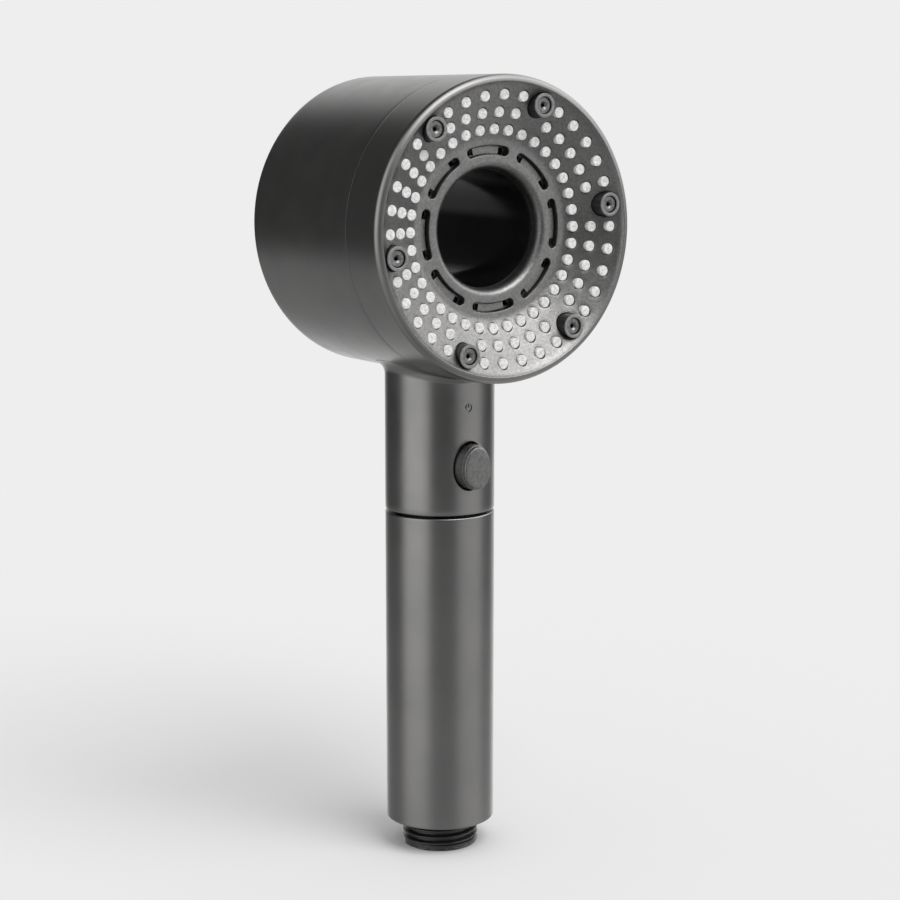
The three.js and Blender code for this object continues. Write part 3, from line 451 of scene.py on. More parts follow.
def band(value, start, full, fade, end):
    """0 outside a band and 1 in it, with soft ends."""
    return smoothstep(start, full, value) * (1 - smoothstep(fade, end, value))


def thread_height(angle, height, pitch):
    """0 in the root and 1 on the crest of a right-hand thread with rounded flanks."""
    phase = (height / pitch - angle / FULL_TURN) % 1.0
    return 1 - smoothstep(0.1, 0.34, abs(phase - 0.5))


# ---------------- materials


class Nodes:
    """The shader nodes of a material or of the world."""

    def __init__(self, owner):
        owner.use_nodes = True
        self.nodes = owner.node_tree.nodes
        self.links = owner.node_tree.links

    def operate(self, kind, operation, *values):
        """A math node's outputs; its inputs are constants or other nodes' outputs."""
        node = self.nodes.new(kind)
        node.operation = operation
        for socket, value in zip(node.inputs, values):
            if isinstance(value, bpy.types.NodeSocket):
                self.links.new(value, socket)
            else:
                socket.default_value = value
        return node.outputs

    def product(self, a, b):
        return self.operate("ShaderNodeMath", "MULTIPLY", a, b)["Value"]

    def total(self, a, b):
        return self.operate("ShaderNodeMath", "ADD", a, b)["Value"]

    def vectors(self, operation, *values):
        return self.operate("ShaderNodeVectorMath", operation, *values)

    def split(self, vector):
        node = self.nodes.new("ShaderNodeSeparateXYZ")
        self.links.new(vector, node.inputs["Vector"])
        return node.outputs

    def ramp(self, value, low, high, to_low=0.0, to_high=1.0):
        node = self.nodes.new("ShaderNodeMapRange")
        node.interpolation_type = "SMOOTHSTEP"
        sockets = "From Min", "From Max", "To Min", "To Max"
        for socket, setting in zip(sockets, (low, high, to_low, to_high)):
            node.inputs[socket].default_value = setting
        self.links.new(value, node.inputs["Value"])
        return node.outputs["Result"]


class Finish(Nodes):
    """A material on the Principled shader, with patterns in the object's own coordinates."""

    def __init__(self, name, **sockets):
        self.material = bpy.data.materials.new(name)
        super().__init__(self.material)
        self.shader = self.nodes["Principled BSDF"]
        self.place = self.nodes.new("ShaderNodeTexCoord").outputs["Object"]
        for socket, value in sockets.items():
            self.shader.inputs[socket.replace("_", " ")].default_value = value

    def stretched(self, scale):
        mapping = self.nodes.new("ShaderNodeMapping")
        mapping.inputs["Scale"].default_value = scale
        self.links.new(self.place, mapping.inputs["Vector"])
        return mapping.outputs["Vector"]

    def noise(self, scale, detail, roughness=0.55, place=None):
        node = self.nodes.new("ShaderNodeTexNoise")
        node.inputs["Scale"].default_value = scale
        node.inputs["Detail"].default_value = detail
        node.inputs["Roughness"].default_value = roughness
        self.links.new(place or self.place, node.inputs["Vector"])
        return node.outputs["Fac"]

    def mottle(self, scale, low=0.0, high=1.0):
        """Soft patches that run from low to high."""
        return self.ramp(self.noise(scale, 4), 0.35, 0.65, low, high)

    def vary_roughness(self, scale, detail, low, high):
        self.vary("Roughness", self.ramp(self.noise(scale, detail), 0.3, 0.7, low, high))

    def tint(self, value, low, high):
        """Colour that runs from one tone to another."""
        node = self.nodes.new("ShaderNodeMix")
        node.data_type = "RGBA"
        node.inputs["A"].default_value = (*low, 1)
        node.inputs["B"].default_value = (*high, 1)
        self.links.new(value, node.inputs["Factor"])
        self.links.new(node.outputs["Result"], self.shader.inputs["Base Color"])

    def vary(self, socket, value):
        self.links.new(value, self.shader.inputs[socket])

    def bump(self, height, distance, strength=1.0, normal=None):
        node = self.nodes.new("ShaderNodeBump")
        node.inputs["Distance"].default_value = distance
        if isinstance(strength, float):
            node.inputs["Strength"].default_value = strength
        else:
            self.links.new(strength, node.inputs["Strength"])
        self.links.new(height, node.inputs["Height"])
        if normal:
            self.links.new(normal, node.inputs["Normal"])
        self.links.new(node.outputs["Normal"], self.shader.inputs["Normal"])
        return node.outputs["Normal"]


def grey(level, warmth=0.0):
    return level * (1 + warmth), level, level * (1 - warmth)


def paint(name, level, roughness, grain, grain_scale, tone_scale=55, tone=0.045):
    """Satin metallic coat: fine flake, a little orange peel and changes of tone."""
    finish = Finish(name, Metallic=1.0)
    tones = grey(level * (1 - tone), 0.01), grey(level * (1 + tone), 0.015)
    finish.tint(finish.mottle(tone_scale), *tones)
    finish.vary_roughness(140, 5, roughness - 0.018, roughness + 0.018)
    peel = finish.bump(finish.noise(500, 1), 0.004 * MM)
    finish.bump(finish.noise(grain_scale, 2), grain * MM, normal=peel)
    return finish.material


def moulded(name, dark, light, roughness, grain_scale=2600, grain=0.006, tone_scale=90):
    """Moulded plastic or rubber: fine spark-eroded grain and faint flow marks."""
    finish = Finish(name)
    finish.tint(finish.mottle(tone_scale), dark, light)
    finish.vary_roughness(260, 4, roughness - 0.05, roughness + 0.05)
    finish.bump(finish.noise(grain_scale, 3), grain * MM)
    return finish.material


SHELL_ROUGHNESS = 0.298
COARSE_ROUGHNESS = 0.42
COARSE_GRAIN = 0.035
COARSE_SCALE = 1900


def face_paint():
    """The shell's coat, with a coarser grain in the dish of the turning face than on its side."""
    finish = Finish("painted_face", Metallic=1.0)
    axis = 0, 0, -HEAD_AXIS_Z * MM
    from_axis = finish.vectors("MULTIPLY_ADD", finish.place, (1, 0, 1), axis)["Vector"]
    radius = finish.vectors("LENGTH", from_axis)["Value"]
    grain_start, grain_end = (edge * MM for edge in GRAIN_END)
    sheen_start, sheen_end = (edge * MM for edge in SHEEN_START)
    tone = finish.nodes.new("ShaderNodeMix")
    finish.links.new(finish.ramp(radius, grain_start, grain_end), tone.inputs["Factor"])
    finish.links.new(finish.mottle(1500), tone.inputs["A"])
    finish.links.new(finish.mottle(55, 0.52, 0.88), tone.inputs["B"])
    finish.tint(tone.outputs["Result"], grey(0.175, 0.01), grey(0.228, 0.015))
    sheen = finish.ramp(radius, sheen_start, sheen_end, COARSE_ROUGHNESS, SHELL_ROUGHNESS)
    finish.vary("Roughness", sheen)
    strength = finish.ramp(radius, grain_start, grain_end, 1, 0.04)
    finish.bump(finish.noise(COARSE_SCALE, 2), COARSE_GRAIN * MM, strength)
    return finish.material


def post_plastic():
    """Dark plastic with painted light on its exposed tips: they are coloured paler, in soft patches, where
    the lit ring shows.
    """
    finish = Finish("post_plastic")
    along = finish.split(finish.place)["Y"]
    # painted highlight: the colour turns paler towards the tips and stands in for the light on the ring
    painted_tip_light = finish.ramp(along, (POST_TIP_Y + 0.05) * MM, (POST_TIP_Y + 0.45) * MM, 1, 0)
    tip_light_patches = finish.ramp(finish.noise(1400, 4), 0.3, 0.7, 0.65, 1)
    finish.tint(finish.product(painted_tip_light, tip_light_patches), grey(0.012), grey(0.24))
    finish.vary_roughness(700, 4, 0.3, 0.42)
    finish.bump(finish.noise(COARSE_SCALE, 3), 0.022 * MM)
    return finish.material


def gloss_black():
    """Polished plastic with wipe marks that only show in its sheen."""
    finish = Finish("gloss_black", Specular_IOR_Level=0.23)
    finish.tint(finish.ramp(finish.noise(120, 3), 0.3, 0.7), grey(0.0045), grey(0.007))
    wipes = finish.noise(420, 3, place=finish.stretched((1.0, 0.12, 1.0)))
    finish.vary("Roughness", finish.ramp(wipes, 0.35, 0.75, 0.14, 0.22))
    finish.bump(finish.noise(260, 2), 0.004 * MM)
    return finish.material


def steel():
    """Drawn and ground stainless steel with fine scratches."""
    finish = Finish("steel", Metallic=1.0)
    scratches = finish.noise(1500, 4, place=finish.stretched((1.0, 1.0, 0.08)))
    finish.tint(finish.noise(300, 3), grey(0.46), grey(0.6, 0.01))
    finish.vary("Roughness", finish.ramp(scratches, 0.3, 0.7, 0.28, 0.4))
    finish.bump(scratches, 0.004 * MM)
    return finish.material


def cotton():
    """Melt-blown filter fibre."""
    finish = Finish("filter_cotton", Roughness=0.95)
    fibres = finish.noise(900, 6, 0.7, place=finish.stretched((1.0, 1.0, 0.25)))
    finish.tint(fibres, grey(0.62, 0.03), grey(0.86, 0.02))
    finish.bump(fibres, 0.12 * MM)
    return finish.material


SHELL_PAINT = paint("painted_shell", 0.212, SHELL_ROUGHNESS, grain=0.0015, grain_scale=2600)
FACE_PAINT = face_paint()
BUTTON_PAINT = paint(
    "painted_button", 0.17, COARSE_ROUGHNESS, COARSE_GRAIN, COARSE_SCALE, tone_scale=1500, tone=0.14,
)
FINISHES = {
    "painted_shell": SHELL_PAINT,
    "gloss_black": gloss_black(),
    "black_plastic": moulded("black_plastic", grey(0.015), grey(0.024), 0.33),
    "inner_plastic": moulded("inner_plastic", grey(0.42, 0.01), grey(0.52, 0.01), 0.45),
    "silicone": moulded(
        "silicone", grey(0.6, 0.005), grey(0.86, 0.005), 0.5, grain_scale=1500, grain=0.05, tone_scale=1600,
    ),
    "rubber": moulded("rubber", grey(0.01), grey(0.017), 0.6, grain_scale=1600, grain=0.012),
    "steel": steel(),
    "filter_cotton": cotton(),
}
POST_PLASTIC = post_plastic()
# the jet tips are plastic, but they shine as the paint does
TIP_PLASTIC = paint("tip_plastic", 0.19, 0.46, COARSE_GRAIN, COARSE_SCALE, tone_scale=1700, tone=0.3)


# ---------------- turning face


def front_y(radius):
    """The face's front: a flat hub that bends into a cone rising to the rim."""
    bend = HUB_BLEND * math.log1p(math.exp(min((radius - HUB_RADIUS) / HUB_BLEND, 60)))
    return FACE_Y + HUB_DEPTH - CONE_SLOPE * bend


def face_place(u, v, depth):
    return u, front_y(math.hypot(u, v)) + depth, HEAD_AXIS_Z + v


def chart_point(radius, degrees):
    angle = math.radians(degrees)
    return Vector((radius * math.cos(angle), radius * math.sin(angle)))


def nozzle_places():
    """Degrees and ring of every nozzle; the outer rings leave room for the jet posts."""
    for ring in NOZZLE_RINGS:
        for degrees in range(0, 360, NOZZLE_PITCH):
            if not (ring[2] and degrees in JET_ANGLES):
                yield degrees, ring


def arc(radius, low, high, steps):
    return [chart_point(radius, low + (high - low) * i / steps) for i in range(steps + 1)]


def slot_outline(middle):
    """An arc slot with round ends."""
    half = SLOT_WIDTH / 2
    low, high = middle - SLOT_HALF_SPAN, middle + SLOT_HALF_SPAN
    outer = arc(SLOT_RADIUS + half, low, high, 14)
    inner = arc(SLOT_RADIUS - half, high, low, 14)

    def end(degrees, start):
        centre = chart_point(SLOT_RADIUS, degrees)
        return [centre + unit(math.radians(start + 180 * i / 10)) * half for i in range(1, 10)]

    return outer + end(high, high) + inner + end(low, low + 180)


def arc_box(low, high, width, steps):
    """A piece of the slots' circle with square ends."""
    inner = arc(SLOT_RADIUS - width / 2, low, high, steps)
    return arc(SLOT_RADIUS + width / 2, low, high, steps) + inner[::-1]


def polar_grid(radii, columns):
    for row, radius in enumerate(radii):
        for i in range(columns):
            yield chart_point(radius, 360 * (i + 0.5 * (row % 2)) / columns)


def slot_cuts():
    """The arc slots, each with a bar standing on its floor and an opening at each end."""
    bar_span, bar_width, bar_depth = SLOT_BAR
    near, far, window = MIST_WINDOW
    cuts = []
    for middle in SLOT_MIDDLES:
        for low, high in ((middle - far, middle - near), (middle + near, middle + far)):
            cuts.append(Cut(arc_box(low, high, window, 3), top=SLOT_DEPTH, margin=CLOSE))
        bar = arc_box(middle - bar_span, middle + bar_span, bar_width, 12)
        cuts.append(Cut(bar, top=SLOT_DEPTH, floor=bar_depth, margin=CLOSE))
    cuts += [Cut(slot_outline(middle), 0.18, floor=SLOT_DEPTH) for middle in SLOT_MIDDLES]
    return cuts


def face_lip():
    """The outline of the rounded lip round the bore."""
    hub_y = FACE_Y + HUB_DEPTH
    lip = []
    for i in range(13):
        turn = math.pi / 2 * i / 12
        lip.append((
            LIP_OUTER - (LIP_OUTER - LIP_INNER) * math.sin(turn),
            hub_y + LIP_DEPTH * (1 - math.cos(turn)),
        ))
    lip_end = hub_y + LIP_DEPTH + LIP_LAND
    hub_back = hub_y + HUB_THICKNESS
    return lip + [(LIP_INNER, lip_end), (LINER_ROOM, lip_end), (LINER_ROOM, hub_back), (LIP_OUTER, hub_back)]


def face_shell():
    shape = Shape()
    cuts = slot_cuts()
    for degrees, ring in nozzle_places():
        cuts.append(Cut(circle(chart_point(ring[0], degrees), NOZZLE_HOLE_RADIUS, 24), HOLE_EDGE))
    for degrees in JET_ANGLES:
        hole = circle(chart_point(JET_CIRCLE, degrees), POST_HOLE_RADIUS, 40)
        cuts.append(Cut(hole, HOLE_EDGE, margin=CLOSE))
    cuts.append(Cut(circle((0, 0), LIP_OUTER, FACE_COLUMNS), margin=CLOSE))
    sheet(
        shape, face_place, circle((0, 0), CONE_RADIUS, FACE_COLUMNS),
        polar_grid(HUB_ROWS + CONE_ROWS, 120), cuts,
        lambda u, v: HUB_THICKNESS if math.hypot(u, v) < HUB_RADIUS else FACE_THICKNESS,
    )
    cone_end = front_y(CONE_RADIUS)
    cone_back = cone_end + FACE_THICKNESS
    band_end = SEAM_Y - SEAM_GAP / 2
    rim = rounded([
        (CONE_RADIUS, cone_end), (CREST_RADIUS, FACE_Y, 0.3), (HEAD_RADIUS, FACE_Y, RIM_ROUNDING),
        (HEAD_RADIUS, band_end, EDGE), (SKIRT[1], band_end), (SKIRT[1], SKIRT_END_Y),
        (SKIRT[0], SKIRT_END_Y), (SKIRT[0], cone_back + 0.4), (CONE_RADIUS, cone_back),
    ])
    shape.turn(rim, on_head, FACE_COLUMNS, closed=False)
    shape.turn(face_lip(), on_head, FACE_COLUMNS, closed=False)
    return shape


def nozzle_mat():
    """The silicone sheet behind the face and its nozzles, each with a fine outlet."""
    shape = Shape()
    gap = FACE_THICKNESS + MAT_GAP

    def behind(u, v, depth):
        x, y, z = face_place(u, v, depth)
        return x, y + gap, z

    cuts = []
    for degrees in JET_ANGLES:
        hole = circle(chart_point(JET_CIRCLE, degrees), POST_HOLE_RADIUS + 0.1, 40)
        cuts.append(Cut(hole, margin=CLOSE))
    cuts.append(Cut(circle((0, 0), HUB_RADIUS + 0.4, 120), margin=CLOSE))
    grid = polar_grid([24.6 + 1.5 * i for i in range(8)], 60)
    sheet(shape, behind, circle((0, 0), SKIRT[0] + 0.65, 120), grid, cuts, lambda u, v: MAT_THICKNESS)
    mouth, bore, outlet_depth = NOZZLE_OUTLET
    for degrees, (radius, depth, _) in nozzle_places():
        root = front_y(radius) + gap + MAT_THICKNESS / 2
        tip = FACE_Y + depth
        profile = rounded([
            (0.0, root), (NOZZLE_RADIUS, root), (NOZZLE_RADIUS, tip + NOZZLE_TIP_HEIGHT),
            (NOZZLE_TIP_RADIUS, tip, 0.2), (mouth, tip + 0.02, 0.03),
            (bore, tip + outlet_depth), (0.0, tip + outlet_depth),
        ], 4)
        shape.turn(profile, on_rod(*face_point(radius, degrees)), 22, closed=False)
    return shape


def jet_posts():
    """The manifold plate and the hollow posts that stand on it."""
    shape = Shape()
    shape.turn([
        (CLEAR_OF_LINER, MANIFOLD_FRONT), (MANIFOLD_RADIUS, MANIFOLD_FRONT),
        (MANIFOLD_RADIUS, MANIFOLD_BACK), (CLEAR_OF_LINER, MANIFOLD_BACK),
    ], on_head, 96)
    foot = MANIFOLD_BACK - 0.6
    mouth_floor = POST_TIP_Y + POST_MOUTH_DEPTH
    for degrees in JET_ANGLES:
        profile = rounded([
            (POST_RADIUS, foot), (POST_RADIUS, POST_TIP_Y, 0.25), (POST_MOUTH_RADIUS, POST_TIP_Y, 0.3),
            (POST_MOUTH_RADIUS, mouth_floor), (POST_BORE, mouth_floor), (POST_BORE, foot),
        ])
        shape.turn(profile, on_rod(*face_point(JET_CIRCLE, degrees)), 48)
    return shape


def jet_tip(degrees):
    """The orifice disc in a post's mouth, dished towards its hole."""
    shape = Shape()
    seat = POST_TIP_Y + POST_MOUTH_DEPTH - 0.05
    face = seat - JET_TIP_HEIGHT
    outer = POST_MOUTH_RADIUS - 0.1
    profile = rounded([
        (JET_ORIFICE, seat), (outer, seat), (outer, face, 0.2),
        (2 * JET_ORIFICE, face + 0.05, 0.15), (JET_ORIFICE, face + 0.45, 0.08),
    ], 4)
    shape.turn(profile, on_rod(*face_point(JET_CIRCLE, degrees)), 36)
    return shape


# ---------------- casing


def drum_place(u, v, depth):
    """u runs round the drum from its lowest line, v along its axis."""
    angle = u / HEAD_RADIUS - math.pi / 2
    return on_head(HEAD_RADIUS - depth, angle, v)


def drum_chart(point):
    """Where a point on the drum lies in its chart."""
    x, y, z = point
    return Vector((HEAD_RADIUS * math.atan2(x, HEAD_AXIS_Z - z), y))


def neck_place(u, v, depth):
    """u runs round the neck from its front line, v up it."""
    return on_handle(NECK_RADIUS - depth, u / NECK_RADIUS - math.pi / 2, v)


def blend_sections():
    """Arcs that a ball rolled round the joint of neck and drum would leave, neck to drum."""
    sections = []
    for i in range(HEAD_COLUMNS):
        angle = FULL_TURN * i / HEAD_COLUMNS
        ball = BALL_FRONT + (BALL_SIDE - BALL_FRONT) * math.cos(angle) ** 2
        outward = Vector((math.cos(angle), math.sin(angle), 0))
        centre = outward * (NECK_RADIUS + ball)
        centre.z = HEAD_AXIS_Z - math.sqrt((HEAD_RADIUS + ball) ** 2 - centre.x ** 2)
        to_drum = Vector((-centre.x, 0, HEAD_AXIS_Z - centre.z)).normalized()
        sweep = (-outward).angle(to_drum)
        arc = []
        # the last strip is very narrow, so that its faces lie as the drum does
        for step in (*range(BLEND_STEPS), BLEND_STEPS - 0.08, BLEND_STEPS):
            part = step / BLEND_STEPS
            towards_neck, towards_drum = math.sin((1 - part) * sweep), math.sin(part * sweep)
            direction = (-outward * towards_neck + to_drum * towards_drum) / math.sin(sweep)
            arc.append(centre + direction * ball)
        sections.append(arc)
    return sections


def even(low, high, step):
    count = max(1, round((high - low) / step))
    return [low + (high - low) * i / count for i in range(count + 1)]


def columns_round(radius):
    """The columns of a chart that wraps right round."""
    half_turn = math.pi * radius
    return [-half_turn + 2 * half_turn * i / HEAD_COLUMNS for i in range(HEAD_COLUMNS + 1)]


def staggered(columns, rows):
    """Points inside a chart, every other row moved by half a step so that all are alike."""
    half = (columns[1] - columns[0]) / 2
    return [Vector((u + half * (i % 2), v)) for i, v in enumerate(rows[1:-1]) for u in columns[1:-1]]


def box_border(columns, rows):
    """The border of a chart, with a point at the end of each column and row."""
    border = [Vector((u, rows[0])) for u in columns]
    border += [Vector((columns[-1], v)) for v in rows[1:-1]]
    border += [Vector((u, rows[-1])) for u in reversed(columns)]
    border += [Vector((columns[0], v)) for v in reversed(rows[1:-1])]
    return border


def mark_outlines():
    """The small generic stop mark: a ring open at the top with a short bar in the gap."""
    centre = Vector(MARK_CENTRE)
    angles = [math.radians(125 + 290 * i / 28) for i in range(29)]
    inner = [centre + unit(angle) * MARK_RADII[0] for angle in reversed(angles)]
    outer = [centre + unit(angle) * MARK_RADII[1] for angle in angles]
    half, foot, middle, top = MARK_BAR
    corners = (-half, foot), (half, foot), (half, middle), (half, top), (-half, top), (-half, middle)
    return outer + inner, [centre + Vector(corner) for corner in corners]


def add_drum(shape, foot):
    """The drum's wall, open inside the blend's foot, and the edges at its two ends."""
    front = SEAM_Y + SEAM_GAP / 2
    rows = even(front + EDGE, REAR_Y - REAR_ROUNDING, 2.0)
    columns = columns_round(HEAD_RADIUS)
    low, high = rows[0], rows[-1]
    # an even row of points round the blend's foot keeps the shading there smooth
    around = Cut(foot, margin=2 * FOOT_ROW)
    grid = [point for point in staggered(columns, rows) if not around.holds(around.near, point)]
    grid += [point for point in grown(foot, FOOT_ROW) if low + 0.2 < point.y < high - 0.2]
    opening = Cut(foot, margin=0.5)
    sheet(shape, drum_place, box_border(columns, rows), grid, [opening], lambda u, v: DRUM_WALL)
    inner = HEAD_RADIUS - DRUM_WALL
    ends = rounded([
        (inner, low), (inner, front), (HEAD_RADIUS, front, EDGE),
        (HEAD_RADIUS, REAR_Y, REAR_ROUNDING), (inner, REAR_Y, 0.25), (inner, high),
    ], 6)
    shape.turn([point for point in ends if point[1] < low + WELD], on_head, HEAD_COLUMNS, closed=False)
    shape.turn([point for point in ends if point[1] > high - WELD], on_head, HEAD_COLUMNS, closed=False)


def add_neck(shape):
    """The neck's wall, with the button's opening and the mark in it, and its lower rim."""
    bottom = NECK_BOTTOM_Z + NECK_ROUNDING
    rows = even(bottom, NECK_TOP_Z, 1.4)
    columns = columns_round(NECK_RADIUS)
    ring, bar = mark_outlines()
    cuts = [
        Cut(ring, 0.05, floor=MARK_DEPTH, margin=0.15),
        Cut(bar, 0.04, floor=MARK_DEPTH, margin=0.15),
        Cut(oval(BUTTON_Z, *BUTTON_HOLE), 0.2),
    ]
    sheet(
        shape, neck_place, box_border(columns, rows), staggered(columns[::2], rows), cuts,
        lambda u, v: NECK_RADIUS - NECK_BORE,
    )
    rim = rounded([
        (NECK_RADIUS, bottom + 1), (NECK_RADIUS, NECK_BOTTOM_Z, NECK_ROUNDING),
        (NECK_BORE, NECK_BOTTOM_Z), (NECK_BORE, bottom),
    ])
    shape.turn(rim[1:], on_handle, HEAD_COLUMNS, closed=False)


def casing():
    shape = Shape()
    sections = blend_sections()
    shape.stack([list(loop) for loop in zip(*sections)])
    foot = [drum_chart(section[-1]) for section in sections]
    add_drum(shape, foot)
    add_neck(shape)
    neck_end = ring_of(on_handle, NECK_RADIUS, NECK_TOP_Z, HEAD_COLUMNS)
    shape.stack([neck_end, [section[0] for section in sections]])
    # inside the blend the bore runs on into the drum's own opening
    bore_end = ring_of(on_handle, NECK_BORE, NECK_TOP_Z, HEAD_COLUMNS)
    shape.stack([bore_end, [drum_place(u, v, DRUM_WALL) for u, v in foot]])
    return shape


def rear_cover():
    """A ring with two skirts inside, a groove near its outer edge and a sunk inner edge."""
    inner, outer = CLEAR_OF_LINER, COVER_RADIUS
    back = COVER_Y
    web, skirt_end = back - 2, back - 6
    groove, sunk = back - 0.35, back - 0.5
    shape = Shape()
    shape.turn(rounded([
        (inner, skirt_end), (inner + 1.2, skirt_end), (inner + 1.2, web), (outer - 1.4, web),
        (outer - 1.4, skirt_end), (outer, skirt_end), (outer, back, 0.35), (outer - 2.2, back, 0.15),
        (outer - 2.5, groove, 0.1), (outer - 2.9, groove, 0.1), (outer - 3.2, back, 0.15),
        (inner + 2.6, back, 0.3), (inner + 1.6, sunk, 0.25), (inner, sunk, 0.2),
    ]), on_head, FACE_COLUMNS)
    return shape


def bore_liner():
    """The tube through the head, with a collar round it."""
    front = FACE_Y + HUB_DEPTH + LIP_DEPTH + LIP_LAND + 0.15
    collar_front, collar_back, collar_height = LINER_COLLAR
    collar = LINER_RADIUS + collar_height
    shape = Shape()
    shape.turn(rounded([
        (BORE_RADIUS, front, 0.15), (BORE_RADIUS, COVER_Y, 0.5), (LINER_RADIUS, COVER_Y, 0.2),
        (LINER_RADIUS, collar_back), (collar, collar_back), (collar, collar_front),
        (LINER_RADIUS, collar_front), (LINER_RADIUS, front),
    ]), on_head, FACE_COLUMNS)
    return shape


# ---------------- button


def stop_button():
    """An oval key on a slightly wider base, its top a little crowned."""
    half_width, half_height = BUTTON_BASE
    top = BUTTON_TOP_Y
    crown_inset, crown_depth = BUTTON_CROWN
    profile = rounded([
        (0.0, BUTTON_BACK_Y), (-1.0, BUTTON_BACK_Y), (-1.0, BUTTON_BACK_Y - 1), (0.0, BUTTON_BACK_Y - 1),
        (0.0, BUTTON_STEP_Y, 0.12), (BUTTON_STEP, BUTTON_STEP_Y - 0.04, 0.06),
        (BUTTON_STEP, top + 0.1, 0.5), (crown_inset, top + crown_depth),
    ], 6)[1:]
    shape = Shape()
    loops = [[(0, BUTTON_BACK_Y, BUTTON_Z)] * OVAL_COLUMNS]
    for inset, y in profile:
        outline = oval(BUTTON_Z - 0.2 * min(inset, 1), half_width - inset, half_height - 1.3 * inset)
        loops.append([(point.x, y, point.y) for point in outline])
    crown = half_width - crown_inset, half_height - 1.3 * crown_inset
    for part in (0.66, 0.33, 0.0):
        outline = oval(BUTTON_Z - 0.2, crown[0] * part, crown[1] * part)
        loops.append([(point.x, top + crown_depth * part ** 2, point.y) for point in outline])
    shape.stack(loops)
    return shape


# ---------------- grip and hose end


def grip_sleeve():
    shape = Shape()
    shape.turn(rounded([
        (GRIP_MOUTH, GRIP_LOW, 0.15), (GRIP_RADIUS, GRIP_LOW, 0.35), (GRIP_RADIUS, GRIP_HIGH, 0.4),
        (GRIP_BORE, GRIP_HIGH, 0.15), (GRIP_BORE, GRIP_LOW + GRIP_FLOOR), (GRIP_MOUTH, GRIP_LOW + GRIP_FLOOR),
    ]), on_handle, HEAD_COLUMNS)
    return shape


def threaded(shape, inside, rows, radius_at, columns=HEAD_COLUMNS):
    """A tube with a plain inside outline and an outside given row by row."""
    angles = [FULL_TURN * i / columns for i in range(columns)]
    outer = [[on_handle(radius_at(angle, height), angle, height) for angle in angles] for height in rows]
    inner = [ring_of(on_handle, radius, height, columns) for radius, height in inside]
    shape.stack(outer + inner, closed=True)


def hose_connector():
    """The G1/2 hose thread with a plain leading collar, and the flange inside the grip."""

    def radius_at(angle, height):
        thread = thread_height(angle, height, THREAD_PITCH)
        thread *= 1 - smoothstep(THREAD_END - 0.6, THREAD_END, height)
        radius = THREAD_ROOT + (THREAD_CREST - THREAD_ROOT) * thread
        lead = THREAD_ROOT + (COLLAR_RADIUS - THREAD_ROOT) * (1 - smoothstep(1.5, 2.0, height))
        short = THREAD_EDGE - min(height, THREAD_EDGE)
        rounding = THREAD_EDGE - math.sqrt(max(THREAD_EDGE ** 2 - short ** 2, 0.0))
        return max(radius, lead) - rounding

    rows = [THREAD_EDGE * (1 - math.cos(math.pi / 2 * i / 6)) for i in range(6)]
    rows += even(THREAD_EDGE, 7.5, 0.085)
    inside = [
        (THREAD_ROOT, 7.6), (COLLAR_RADIUS, 7.72), (COLLAR_RADIUS, FLANGE_LOW),
        (FLANGE_RADIUS, FLANGE_LOW), (FLANGE_RADIUS, FLANGE_HIGH), (TAIL_RADIUS, FLANGE_HIGH),
        (TAIL_RADIUS, TAIL_TOP), (TAIL_BORE, TAIL_TOP), (TAIL_BORE, 11.56), (WASHER_BORE, 11.56),
        (WASHER_BORE, 0.5), (WASHER_BORE + 0.4, 0.08), (WASHER_BORE + 0.55, 0.0),
    ]
    shape = Shape()
    threaded(shape, inside, rows, radius_at)
    return shape


def neck_spigot():
    """The thread that the grip screws on to, with the O-ring's groove below it."""

    def radius_at(angle, height):
        thread = thread_height(angle, height, SPIGOT_PITCH) * band(height, *SPIGOT_THREAD)
        lead = smoothstep(SPIGOT_LOW, SPIGOT_LOW + 0.5, height) * 0.4
        seat = smoothstep(94.6, 95.2, height) + 1 - smoothstep(85.6, 86.2, height)
        plain = SPIGOT_RADIUS - 0.4 + lead - SPIGOT_THREAD_DEPTH * (1 - min(seat, 1))
        groove = band(height, *SPIGOT_GROOVE)
        return plain + SPIGOT_THREAD_DEPTH * thread - SPIGOT_GROOVE_DEPTH * groove

    inside = [
        (SPIGOT_BORE, SPIGOT_HIGH), (SPIGOT_BORE, SPIGOT_LOW + 0.4), (SPIGOT_BORE + 0.4, SPIGOT_LOW),
    ]
    shape = Shape()
    threaded(shape, inside, even(SPIGOT_LOW, SPIGOT_HIGH, 0.12), radius_at, 120)
    return shape


def inlet_screen():
    """Woven wire in a pressed rim."""
    shape = Shape()
    low, high = span("inlet_screen", Z)
    middle = (low + high) / 2
    rim, pitch, wire = 6.7, 0.8, 0.15
    rim_profile = [(rim - 0.7, low, 0.2), (rim, low, 0.2), (rim, high, 0.2), (rim - 0.7, high, 0.2)]
    shape.turn(rounded(rim_profile, 3), on_handle, 72)
    count = int((rim - 0.5) / pitch)
    for along in (0, 1):
        for i in range(-count, count + 1):
            offset = i * pitch
            reach = math.sqrt((rim - 0.4) ** 2 - offset ** 2)
            path = []
            for place in even(-reach, reach, pitch / 4):
                height = middle + wire * math.cos(math.pi * (place / pitch + i + along)) * 0.95
                path.append(Vector((place, offset, height) if along else (offset, place, height)))
            tube(shape, path, wire)
    return shape


# ---------------- assembly


ROOT, SPRAY, BUTTON, GRIP = "root", "spray_face", "button", "grip"

